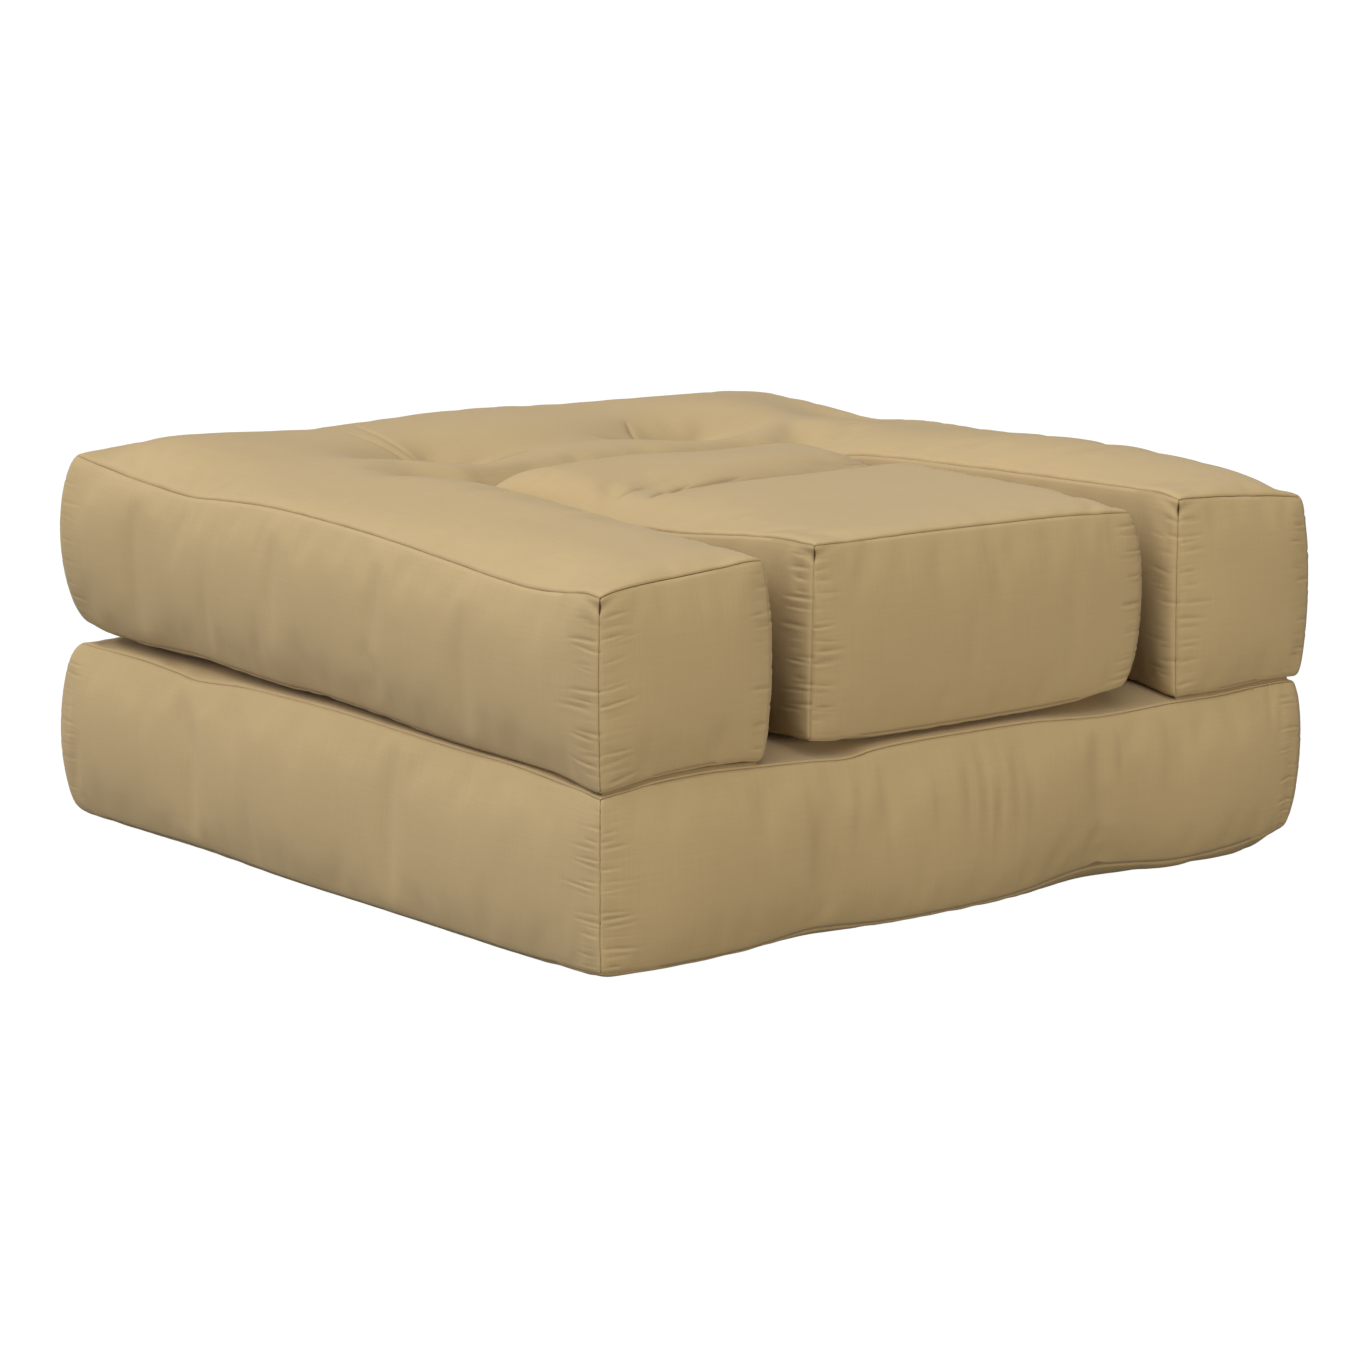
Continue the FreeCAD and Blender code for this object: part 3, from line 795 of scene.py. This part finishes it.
tuftPulls = pullsTo(
    upperTufts[0], (-0.098, -0.022, 0.35, 0.0038, 0.0030, 0.004),
    (-0.092, 0.004, 0.35, 0.0042, 0.0030, 0.003), (-0.002, 0.142, 0.35, 0.0026, 0.0028, 0.003),
    (-0.030, 0.110, 0.30, 0.0030, 0.0028, 0.0), (0.090, -0.030, 0.30, 0.0026, 0.0032, -0.004),
    (0.120, -0.010, 0.35, 0.0026, 0.0034, 0.003), (0.105, -0.055, 0.45, 0.0018, 0.0028, 0.003)) + pullsTo(
    upperTufts[1], (-0.110, 0.024, 0.45, 0.0016, 0.0030, 0.003),
    (0.070, -0.020, 0.35, 0.0018, 0.0034, -0.003), (-0.085, -0.018, 0.35, 0.0014, 0.0030, 0.002)) + [
    crease((tuftRight - 0.037, 0.290), (tuftRight - 0.072, 0.196), 0.0040, 0.0030, 0.003),
    crease((tuftRight - 0.037, 0.256), (tuftRight - 0.050, 0.200), 0.0022, 0.0028)]


crownLevel = {"upper": 0.3855, "flap": 0.389}
bellyLevel = {"upper": 0.179, "flap": 0.176}


def upperCrown(x, y, full, level):
    rise = (crownLevel["upper"] + bumps(upperHills, x, y) - level) * full
    # a shallow channel joins the two tufts, and dies out beside them
    channel = bell(y - tuftRow, 0.045) * (0.003 + 0.010 * fade(-0.30, -0.17, x))
    return rise - channel * (1 - 0.6 * fade(0.26, 0.34, x)) - tuftDrop(upperTufts, x, y)


def upperBelly(x, y, full, level):
    return (level - bellyLevel["upper"]) * full ** 2.5 - tuftDrop(upperTufts, x, y) * 0.7


# the flap's place is left open between two columns, from the front to one file
openFirst, openLast, openEnd = 21, 65, 48
upperPlan = {
    "layer": "upper",
    "xs": stations((leftX, leftX + edgeBand, 7), (leftX + edgeBand, armLeftX, openFirst - 7),
                   (armLeftX, armRightX, openLast - openFirst), (armRightX, rightX - edgeBand, 12),
                   (rightX - edgeBand, rightX, 7)),
    "ys": stations((frontY, frontY + edgeBand, 7), (frontY + edgeBand, backY, openEnd - 7),
                   (backY, 0.27, 22), (0.27, rearY, 15)),
    "rows": 18, "height": heightUpper, "puff": 0.70, "settle": 0.002, "hole": (openFirst, openLast, openEnd),
    "crown": upperCrown, "belly": upperBelly, "creases": tuftPulls, "slits": (armLeftX, armRightX),
    # strength of the painted shade on the arms' walls inside the slits
    "paintedSlitShade": 1.9,
}
armInner = [(-0.454, 0.0), (-0.2, 0.008), (-0.08, 0.018), (0.0, 0.032), (0.05, 0.040), (0.0913, 0.042)]
rightArmInner = [(-0.454, 0.0), (-0.2, 0.008), (-0.10, 0.016), (-0.04, 0.025), (0.04, 0.037), (0.0913, 0.042)]
upperRearPlaces = (-0.45, -0.3, -0.186, 0.0, 0.14, 0.3, 0.45)
upperPlan["walls"] = [
    wall((leftX, frontY), (armLeftX, frontY), (0, -1),
         [(-0.45, 0.367), (-0.44, 0.370), (-0.40, 0.374), (-0.33, 0.378), (-0.27, 0.382), (-0.255, 0.381)],
         armSeam,
         [(-0.45, 0.004), (-0.40, 0.011), (-0.35, 0.013), (-0.30, 0.011), (-0.255, 0.004)], shift=0.002),
    wall((armLeftX, frontY), (armLeftX, backY), (1, 0),
         [(-0.454, 0.381), (-0.40, 0.382), (-0.3, 0.383), (-0.2, 0.384), (-0.1, 0.384), (0.0, 0.380),
          (0.05, 0.372), (0.0913, 0.356)],
         [(-0.454, 0.181), (-0.3, 0.190), (0.0, 0.192), (0.0913, 0.194)],
         [(-0.454, 0.010), (-0.35, 0.016), (0.0, 0.014), (0.0913, 0.002)], shift=armInner, run=0.075),
    wall((armLeftX, backY), (armRightX, backY), (0, -1),
         [(-0.255, 0.354), (-0.19, 0.355), (0.0, 0.355), (0.2, 0.355), (0.275, 0.356)],
         [(-0.255, 0.194), (0.0, 0.192), (0.275, 0.194)], 0.0, shift=-0.0015, run=0.075),
    wall((armRightX, frontY), (armRightX, backY), (-1, 0),
         [(-0.454, 0.383), (-0.42, 0.386), (-0.3, 0.381), (-0.15, 0.375), (0.0, 0.369), (0.0913, 0.354)],
         [(-0.454, 0.176), (-0.3, 0.188), (0.0, 0.192), (0.0913, 0.194)],
         [(-0.454, 0.006), (-0.35, 0.014), (0.0, 0.014), (0.0913, 0.002)], shift=rightArmInner, run=0.075),
    wall((armRightX, frontY), (rightX, frontY), (0, -1),
         [(0.275, 0.383), (0.30, 0.382), (0.35, 0.378), (0.40, 0.373), (0.45, 0.367)],
         armSeam,
         [(0.275, 0.004), (0.32, 0.011), (0.37, 0.013), (0.42, 0.010), (0.45, 0.004)], shift=0.002),
    wall((rightX, frontY), (rightX, rearY), (1, 0),
         [(-0.454, 0.367), (-0.40, 0.367), (-0.3, 0.369), (-0.1, 0.370), (0.1, 0.368), (0.24, 0.360),
          (0.34, 0.361), (0.446, 0.358)],
         line((-0.454, -0.3, -0.1, 0.1, 0.24, 0.34, 0.446), 0.177, 0.188, 0.194, 0.197, 0.200, 0.196, 0.200),
         line((-0.454, -0.35, -0.1, 0.1, 0.24, 0.35, 0.446), 0.010, 0.018, 0.019, 0.020, 0.016, 0.020, 0.012),
         shift=[(-0.454, -0.006), (-0.36, -0.002), (-0.25, 0.0)]),
    wall((leftX, rearY), (rightX, rearY), (0, 1),
         [(-0.45, 0.384), (-0.3, 0.381), (-0.15, 0.373), (0.0, 0.377), (0.10, 0.374), (0.2, 0.361),
          (0.3, 0.358), (0.45, 0.356)],
         line(upperRearPlaces, 0.202, 0.197, 0.202, 0.196, 0.202, 0.197, 0.200),
         line(upperRearPlaces, 0.014, 0.019, 0.016, 0.020, 0.016, 0.019, 0.012)),
    wall((leftX, frontY), (leftX, rearY), (-1, 0),
         [(-0.454, 0.367), (-0.43, 0.368), (-0.40, 0.364), (-0.358, 0.360), (-0.304, 0.361), (-0.20, 0.368),
          (-0.116, 0.373), (-0.024, 0.376), (0.095, 0.376), (0.18, 0.371), (0.235, 0.367), (0.30, 0.369),
          (0.391, 0.377), (0.446, 0.384)],
         [(-0.454, 0.1765), (-0.40, 0.180), (-0.30, 0.185), (-0.205, 0.188), (-0.10, 0.194), (0.0, 0.197),
          (0.08, 0.196), (0.15, 0.198), (0.21, 0.201), (0.25, 0.201), (0.32, 0.198), (0.40, 0.198),
          (0.446, 0.203)],
         [(-0.454, 0.005), (-0.38, 0.013), (-0.25, 0.018), (-0.1, 0.018), (0.08, 0.018), (0.235, 0.016),
          (0.34, 0.021), (0.446, 0.021)],
         shift=[(0.30, 0.0), (0.446, 0.004)], tuck=[(0.2, 0.0), (0.446, 0.009)]),
]
frontNotch = 0.0034
upperPlan["corners"] = [
    cornerOf(upperPlan, 0, 0, pleats=makePleats(13, 19, 0.0019, 0.032), notch=frontNotch),
    {"x": armLeftX, "y": frontY, "column": openFirst, "file": 0,
     "pleats": makePleats(15, 18, 0.0020, 0.018)},
    {"x": armRightX, "y": frontY, "column": openLast, "file": 0, "notch": frontNotch,
     "pleats": makePleats(17, 19, 0.0019, 0.024)},
    cornerOf(upperPlan, 1, 0, pleats=makePleats(19, 18, 0.0017, 0.022)),
    cornerOf(upperPlan, 1, 1, pleats=makePleats(21, 17, 0.0014, 0.026)),
    cornerOf(upperPlan, 0, 1, pleats=makePleats(23, 17, 0.0014, 0.026)),
]
upperCover = finishBlock("upperCover", upperPlan)
print("upper block done:", len(upperCover.data.polygons), "faces")

# ---- flap

(creaseLeft, creaseRight), (creaseRow,) = tuftPlaces("flap_tuft_twines")
creaseLine = creaseRow - 0.028
flapTufts = [{"x": x, "y": creaseRow, "depth": 0.008, "width": 0.045, "fold": 0.0008, "stretch": 1.2}
             for x in (creaseLeft, creaseRight)]
flapCreases = [
    crease((creaseLeft - 0.036, creaseRow - 0.050), (creaseLeft + 0.030, creaseRow - 0.016), 0.0032, 0.0030,
           -0.003),
    crease((creaseLeft + 0.017, creaseRow - 0.020), (creaseLeft + 0.096, creaseRow - 0.016), 0.0036, 0.0030,
           0.002),
    crease((creaseLeft + 0.06, creaseLine), (creaseRight + 0.03, creaseLine + 0.006), 0.0034, 0.0070, -0.003),
    crease((creaseRight - 0.06, creaseLine - 0.006), (creaseRight + 0.06, creaseRow - 0.004), 0.0036, 0.0032,
           -0.002)] + pullsTo(
    flapTufts[0], (-0.050, -0.016, 0.2, 0.0018, 0.0030, 0.0)) + pullsTo(
    flapTufts[1], (0.058, 0.014, 0.2, 0.0024, 0.0030, -0.003), (0.050, -0.022, 0.2, 0.0018, 0.0030, 0.0))
flapHills = hills((-0.06, 0.02, 0.14, 0.06, 0.003), (0.07, 0.05, 0.08, 0.06, -0.006),
                  (0.22, 0.00, 0.08, 0.09, -0.010), (-0.14, -0.18, 0.07, 0.08, -0.003))


def flapCrown(x, y, full, level):
    rise = (crownLevel["flap"] + bumps(flapHills, x, y) - level) * full
    valley = (0.009 + 0.005 * fade(-0.04, 0.08, x)) * bell(y - creaseLine, 0.036)
    ends = fade(creaseLeft - 0.06, creaseLeft + 0.01, x) * (1 - fade(creaseRight, creaseRight + 0.065, x))
    return rise - valley * ends - tuftDrop(flapTufts, x, y)


def flapBelly(x, y, full, level):
    return (level - bellyLevel["flap"]) * full ** 2.2 - tuftDrop(flapTufts, x, y) * 0.7


flapPlan = {
    "layer": "upper",
    "xs": stations((flapLeftX, flapLeftX + edgeBand, 7), (flapLeftX + edgeBand, flapRightX - edgeBand, 28),
                   (flapRightX - edgeBand, flapRightX, 7)),
    "ys": stations((frontY, frontY + edgeBand, 7), (frontY + edgeBand, -0.12, 25), (-0.12, rootY, 32)),
    "rows": 18, "height": heightUpper, "puff": 0.70, "settle": 0.002,
    "crown": flapCrown, "belly": flapBelly, "creases": flapCreases, "slits": (flapLeftX, flapRightX),
    # strength of the painted shade on the flap's sides inside the slits
    "paintedSlitShade": 1.5,
}
flapSide = [(-0.1, 0.0), (0.0, 0.010), (0.05, 0.016), (0.091, 0.018)]
flapPlan["walls"] = [
    wall((flapLeftX, frontY), (flapRightX, frontY), (0, -1),
         [(-0.192, 0.388), (-0.15, 0.387), (-0.05, 0.386), (0.05, 0.384), (0.12, 0.382), (0.17, 0.379),
          (0.212, 0.376)],
         [(-0.192, 0.193), (-0.15, 0.190), (0.0, 0.188), (0.15, 0.190), (0.212, 0.196)],
         [(-0.192, 0.002), (-0.12, 0.008), (0.0, 0.010), (0.14, 0.008), (0.212, 0.003)], run=0.10, lean=1.2,
         tuck=0.006),
    wall((flapRightX, frontY), (flapRightX, rootY), (1, 0),
         [(-0.454, 0.376), (-0.35, 0.376), (-0.2, 0.368), (-0.077, 0.360), (0.0, 0.362), (0.04, 0.358),
          (0.091, 0.353)],
         [(-0.454, 0.196), (-0.2, 0.192), (0.091, 0.194)],
         [(-0.454, 0.021), (-0.38, 0.023), (-0.2, 0.015), (-0.077, 0.010), (0.02, 0.010), (0.091, 0.0)],
         shift=[(-0.1, 0.0), (-0.04, 0.010), (0.05, 0.016), (0.091, 0.018)], run=0.055),
    wall((flapLeftX, rootY), (flapRightX, rootY), (0, 1),
         [(-0.192, 0.354), (0.0, 0.355), (0.212, 0.354)], [(-0.192, 0.194), (0.0, 0.192), (0.212, 0.194)],
         0.0, shift=-0.0015, run=0.07),
    wall((flapLeftX, frontY), (flapLeftX, rootY), (-1, 0),
         [(-0.454, 0.388), (-0.40, 0.387), (-0.354, 0.383), (-0.245, 0.370), (-0.183, 0.366), (-0.077, 0.358),
          (0.0, 0.364), (0.04, 0.362), (0.091, 0.354)],
         [(-0.454, 0.193), (-0.2, 0.192), (0.091, 0.194)],
         [(-0.454, 0.003), (-0.38, 0.013), (-0.2, 0.014), (-0.077, 0.010), (0.02, 0.010), (0.091, 0.0)],
         shift=flapSide, run=[(-0.454, 0.10), (-0.25, 0.12), (-0.12, 0.11), (-0.03, 0.05), (0.091, 0.045)]),
]
flapPlan["corners"] = [
    cornerOf(flapPlan, 0, 0, pleats=makePleats(25, 19, 0.0019, 0.026), notch=frontNotch, sideways=1.0),
    cornerOf(flapPlan, 1, 0, pleats=makePleats(27, 18, 0.0018, 0.020, through=0.8)),
]
flapCover = finishBlock("flapCover", flapPlan)
print("flap done:", len(flapCover.data.polygons), "faces")


# ---- front borders, each cut out of its cover as a piece of its own; on the real futon they fold flat when the upper block is turned over

borderCap = {"base": 0.012, "arm": 0.001}
armMiddle = (upperBottom + topSeam) / 2
baseFrontBorder = splitBorder(baseCover, "baseFrontBorder", leftX + 0.1, rightX - 0.1, contactZ / 2,
                              borderCap["base"])
leftArmFront, rightArmFront = (
    splitBorder(upperCover, name, low + 0.05, high - 0.05, armMiddle, borderCap["arm"])
    for name, low, high in (("leftArmFront", leftX, armLeftX), ("rightArmFront", armRightX, rightX)))


# ---- cloth strips over the two hinges

def tubeStrip(name, xs, profile):
    # a closed band along the columns; profile gives its loop of (y, z) points at an x
    bm = bmesh.new()
    loops = [[bm.verts.new((x, y, z)) for y, z in profile(x)] for x in xs]
    for before, after in zip(loops, loops[1:]):
        for n in range(len(before)):
            m = (n + 1) % len(before)
            bm.faces.new((before[n], before[m], after[m], after[n]))
    bm.faces.new(loops[0])
    bm.faces.new(loops[-1])
    bmesh.ops.recalc_face_normals(bm, faces=bm.faces[:])
    obj = newObject(name, bm)
    for polygon in obj.data.polygons:
        polygon.use_smooth = True
    return obj


hingeDeep = frontY + 0.0030
hingeReach = (0.0014, 0.0019)
hingeThick = 0.0004


def hingeProfile(x):
    # a flat strip that leans back from the lower seam to the upper one
    z = curveAt(hingeLine, x)
    across, up = hingeReach
    return [(hingeDeep + side * across + half * hingeThick, z + side * up)
            for side, half in ((-1, -1), (1, -1), (1, 1), (-1, 1))]


hingeTapes = []
for side, low, high in (("left", leftX + 0.006, armLeftX - 0.004),
                        ("right", armRightX + 0.004, rightX - 0.018)):
    tape = tubeStrip(side + "HingeTape", stations((low, high, 48)), hingeProfile)
    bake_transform(tape, "base", "upper", (0, hingeDeep - hingeReach[0] + hingeThick, 0),
             (0, hingeDeep + hingeReach[0] - hingeThick, 0))
    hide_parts(side + "_hinge_seam")
    hingeTapes.append(tape)

rootMiddle = (rootY + backY) / 2
rootTop, rootFold, rootThick = 0.3565, 0.014, 0.0008
rootWidth, rootInset, rootBlend = 0.023, 0.004, 0.0036


def rootProfile(x):
    # tucked down between the two walls, with a lip over each top seam
    dip = 0.0008 * math.sin(x * 95) + 0.0005 * math.sin(x * 231 + 1)
    outer = [(-0.0042, 0.0), (-0.0022, -0.0012), (-0.0011, -0.004), (-0.0004, -rootFold), (0.0004, -rootFold),
             (0.0011, -0.004), (0.0022, -0.0012), (0.0042, 0.0)]
    inner = [(0.0044, rootThick), (0.0016, -0.0002), (0.0, -0.0030), (-0.0016, -0.0002), (-0.0044, rootThick)]
    return [(rootMiddle + y, rootTop + z + dip) for y, z in outer + inner]


rootStrip = tubeStrip("rootStrip", stations((flapLeftX + rootInset, flapRightX - rootInset, 84)), rootProfile)
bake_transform(rootStrip, "flap", "upper", (0, rootMiddle - rootBlend, 0), (0, rootMiddle + rootBlend, 0))
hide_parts("flap_hinge_tape")


# ---- canvas

# groove is the colour of painted shade, mixed in along seams and folds and over the hinge tapes; foldShade
# scales the painted shade in folds
canvas = {
    "light": (0.565, 0.411, 0.207, 1), "dark": (0.495, 0.357, 0.178, 1), "groove": (0.20, 0.135, 0.062, 1),
    "foldShade": 0.38, "thread": 0.00115, "mottle": 9.0, "threadLong": 16, "threadShort": 420,
}


class Graph:
    # the nodes of a material or world, with short ways to add to them

    def __init__(self, tree):
        self.nodes, self.links = tree.nodes, tree.links

    def feed(self, socket, value):
        if isinstance(value, (int, float, tuple)):
            socket.default_value = value
        elif value is not None:
            self.links.new(value, socket)

    def math(self, operation, first, second=None, third=None, clamp=False):
        node = self.nodes.new("ShaderNodeMath")
        node.operation, node.use_clamp = operation, clamp
        for socket, value in zip(node.inputs, (first, second, third)):
            self.feed(socket, value)
        return node.outputs[0]

    def mix(self, share, first, second):
        node = self.nodes.new("ShaderNodeMix")
        node.data_type = "RGBA"
        for name, value in (("Factor", share), ("A", first), ("B", second)):
            self.feed(next(i for i in node.inputs if i.name == name and i.enabled), value)
        return next(o for o in node.outputs if o.enabled)

    def noise(self, vector, scale, detail, stretch=(1, 1, 1)):
        mapping = self.nodes.new("ShaderNodeMapping")
        mapping.inputs["Scale"].default_value = stretch
        self.links.new(vector, mapping.inputs["Vector"])
        node = self.nodes.new("ShaderNodeTexNoise")
        node.inputs["Scale"].default_value = scale
        node.inputs["Detail"].default_value = detail
        self.links.new(mapping.outputs["Vector"], node.inputs["Vector"])
        return node.outputs["Fac"]

    def attribute(self, name):
        node = self.nodes.new("ShaderNodeAttribute")
        node.attribute_name = name
        return node.outputs["Fac"]

    def bump(self, height, strength, shader):
        node = self.nodes.new("ShaderNodeBump")
        node.inputs["Strength"].default_value = strength
        node.inputs["Distance"].default_value = 0.0004
        self.links.new(height, node.inputs["Height"])
        self.links.new(node.outputs["Normal"], shader.inputs["Normal"])


def newMaterial(name, roughness):
    material = bpy.data.materials.new(name)
    material.use_nodes = True
    shader = material.node_tree.nodes["Principled BSDF"]
    shader.inputs["Roughness"].default_value = roughness
    return material, Graph(material.node_tree), shader


def canvasMaterial(name, seamed, shade=0.0):
    # plain-woven cotton: streaked threads both ways, faint mottling, and painted shade along seams and in
    # folds
    material, graph, shader = newMaterial(name, 0.88)
    shader.inputs["Specular IOR Level"].default_value = 0.12
    shader.inputs["Sheen Weight"].default_value = 0.16
    shader.inputs["Sheen Roughness"].default_value = 0.4
    shader.inputs["Sheen Tint"].default_value = (1.0, 0.96, 0.88, 1)
    where = graph.nodes.new("ShaderNodeTexCoord").outputs["Object"]
    cloth = where
    if seamed:
        grain = graph.nodes.new("ShaderNodeUVMap")
        grain.uv_map = "weave"
        cloth = grain.outputs["UV"]
    mottle = graph.noise(where, canvas["mottle"], 3)
    longWay, shortWay = canvas["threadLong"], canvas["threadShort"]
    warp = graph.noise(cloth, 1.0, 2, stretch=(shortWay, longWay, 1))
    weft = graph.noise(cloth, 1.0, 2, stretch=(longWay, shortWay, 1))
    streak = graph.math("MULTIPLY_ADD", graph.math("ADD", warp, weft), 1.0, -0.5)
    tone = graph.math("MULTIPLY", graph.math("ADD", mottle, streak), 0.55, clamp=True)
    colour = graph.mix(tone, canvas["dark"], canvas["light"])
    # painted shade over the whole material, for the hinge tapes
    if shade:
        colour = graph.mix(shade, colour, canvas["groove"])
    # painted shade from the seam and fold attributes
    if seamed:
        share = graph.math("MULTIPLY", graph.math("POWER", graph.attribute("seam"), 1.3), 0.85)
        share = graph.math("MULTIPLY_ADD", graph.attribute("fold"), canvas["foldShade"], share, clamp=True)
        colour = graph.mix(share, colour, canvas["groove"])
    graph.links.new(colour, shader.inputs["Base Color"])
    parts = graph.nodes.new("ShaderNodeSeparateXYZ")
    graph.links.new(cloth, parts.inputs[0])
    turns = 2 * math.pi / canvas["thread"]
    waves = [graph.math("SINE", graph.math("MULTIPLY", parts.outputs[n], turns)) for n in (0, 1)]
    weave = graph.math("MULTIPLY", *waves)
    height = graph.math("ADD", graph.math("MULTIPLY", weave, 0.25), graph.math("MULTIPLY", streak, 0.6))
    graph.bump(height, 0.35, shader)
    return material


def twineMaterial():
    # pale twisted cotton
    material, graph, shader = newMaterial("cottonTwine", 0.85)
    strand = graph.nodes.new("ShaderNodeTexWave")
    strand.bands_direction = "DIAGONAL"
    strand.inputs["Scale"].default_value = 260
    strand.inputs["Distortion"].default_value = 1.5
    graph.links.new(graph.nodes.new("ShaderNodeTexCoord").outputs["Object"], strand.inputs["Vector"])
    colour = graph.mix(strand.outputs["Fac"], (0.42, 0.32, 0.19, 1), (0.66, 0.55, 0.38, 1))
    graph.links.new(colour, shader.inputs["Base Color"])
    graph.bump(strand.outputs["Fac"], 0.6, shader)
    return material


wheatCanvas = canvasMaterial("wheatCanvas", True)
plainCanvas = canvasMaterial("hingeCanvas", False)
# hinge tapes darkened halfway to the shade colour, as painted shade in the crevice between the layers
shadeCanvas = canvasMaterial("hingePaintedShadeCanvas", False, shade=0.5)
cottonTwine = twineMaterial()

for obj, body in ((baseCover, "base"), (baseFrontBorder, "base"), (upperCover, "upper"),
                  (leftArmFront, "upper"), (rightArmFront, "upper"), (flapCover, "flap")):
    obj.data.materials.append(wheatCanvas)
    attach(obj, body)

for strip in (rootStrip, *hingeTapes):
    strip.data.materials.append(plainCanvas if strip is rootStrip else shadeCanvas)

for obj, joint, axis, anchor, keep in (
        (baseFrontBorder, "unfold", (0, 1, 0), (0, frontY + 0.011, 0), 0.05),
        (leftArmFront, "unfold", (0, 1, 0), (0, frontY + 0.0005, 0), 0.05),
        (rightArmFront, "unfold", (0, 1, 0), (0, frontY + 0.0005, 0), 0.05),
        (flapCover, "flap_fold", (0, 0, 1), (0, 0, upperBottom), 0.91)):
    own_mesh(obj)

record = frame["record"]
for body, cover, keep in (("base", baseCover, ("twines", "seam", "front_border")),
                          ("upper", upperCover, ("tape", "arm_front_border")),
                          ("flap", flapCover, ("twines",))):
    members = record["behaviour"]["bodies"][body]
    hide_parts(*[n for n in members if not any(word in n for word in keep)])
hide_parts("base_front_border")
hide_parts("left_arm_front_border")
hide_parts("right_arm_front_border")
for name, node in frame["nodes"].items():
    node.data.materials.clear()
    node.data.materials.append(cottonTwine if "twines" in name else plainCanvas)


# ---- floor, light and camera

floorLook = {"half": 12, "grey": 0.20, "glow": 1.25, "glowShare": 0.80}


def stageSet():
    # a grey floor for the light, which glows to near white for the camera
    bm = bmesh.new()
    bmesh.ops.create_grid(bm, x_segments=1, y_segments=1, size=floorLook["half"])
    floor = newObject("floor", bm)
    material, graph, shader = newMaterial("paleFloor", 0.9)
    shader.inputs["Base Color"].default_value = (floorLook["grey"],) * 3 + (1,)
    glow = graph.nodes.new("ShaderNodeEmission")
    glow.inputs["Color"].default_value = (1, 1, 1, 1)
    glow.inputs["Strength"].default_value = floorLook["glow"]
    seen = graph.nodes.new("ShaderNodeLightPath").outputs["Is Camera Ray"]
    mix = graph.nodes.new("ShaderNodeMixShader")
    graph.links.new(graph.math("MULTIPLY", seen, floorLook["glowShare"]), mix.inputs["Fac"])
    graph.links.new(shader.outputs[0], mix.inputs[1])
    graph.links.new(glow.outputs[0], mix.inputs[2])
    graph.links.new(mix.outputs[0], graph.nodes["Material Output"].inputs["Surface"])
    floor.data.materials.append(material)


def lamp(name, place, aim, size, power, colour=(1, 1, 1)):
    data = bpy.data.lights.new(name, "AREA")
    data.size, data.energy, data.color = size, power, colour
    obj = bpy.data.objects.new(name, data)
    obj.location = place
    obj.rotation_euler = (Vector(aim) - Vector(place)).to_track_quat("-Z", "Y").to_euler()
    bpy.context.scene.collection.objects.link(obj)


sky = {"towards": (-0.559, 0.130, 0.819), "low": 0.045, "high": 2.12, "tint": (0.98, 1.0, 1.05, 1)}


def worldLight():
    # a broad soft dome, brightest above and to the left, and plain white to the camera
    world = bpy.data.worlds.new("studio")
    bpy.context.scene.world = world
    world.use_nodes = True
    graph = Graph(world.node_tree)
    facing = graph.nodes.new("ShaderNodeVectorMath")
    facing.operation = "DOT_PRODUCT"
    facing.inputs[1].default_value = sky["towards"]
    graph.links.new(graph.nodes.new("ShaderNodeTexCoord").outputs["Generated"], facing.inputs[0])
    lit = graph.math("POWER", graph.math("MAXIMUM", facing.outputs["Value"], 0.0), 2.0)
    strength = graph.math("MULTIPLY_ADD", lit, sky["high"], sky["low"])
    rays = graph.nodes.new("ShaderNodeLightPath").outputs["Is Camera Ray"]
    seen = graph.nodes.new("ShaderNodeMix")
    graph.links.new(rays, seen.inputs["Factor"])
    graph.links.new(strength, seen.inputs["A"])
    seen.inputs["B"].default_value = 1.0
    background = graph.nodes["Background"]
    graph.links.new(seen.outputs["Result"], background.inputs["Strength"])
    graph.links.new(graph.mix(rays, sky["tint"], (1, 1, 1, 1)), background.inputs["Color"])


view = {"place": (-3.8383, -4.9546, 1.4439), "aim": (0.0, -0.0006, 0.18), "lens": 162.31,
        "shiftX": 0.001617, "shiftY": -0.01872}


def cameraSet():
    data = bpy.data.cameras.new("camera")
    data.lens, data.sensor_width = view["lens"], 36.0
    data.shift_x, data.shift_y = view["shiftX"], view["shiftY"]
    obj = bpy.data.objects.new("camera", data)
    obj.location = view["place"]
    obj.rotation_euler = (Vector(view["aim"]) - Vector(view["place"])).to_track_quat("-Z", "Y").to_euler()
    bpy.context.scene.collection.objects.link(obj)
    bpy.context.scene.camera = obj


stageSet()
worldLight()
lamp("key", (-2.2, 0.6, 3.2), (0, 0, 0.2), 2.2, 12)
lamp("fill", (0.10, -3.7, 0.55), (0, -0.4, 0.16), 0.9, 39, (1.0, 0.955, 0.85))
cameraSet()
bpy.context.scene.view_settings.view_transform = "Standard"
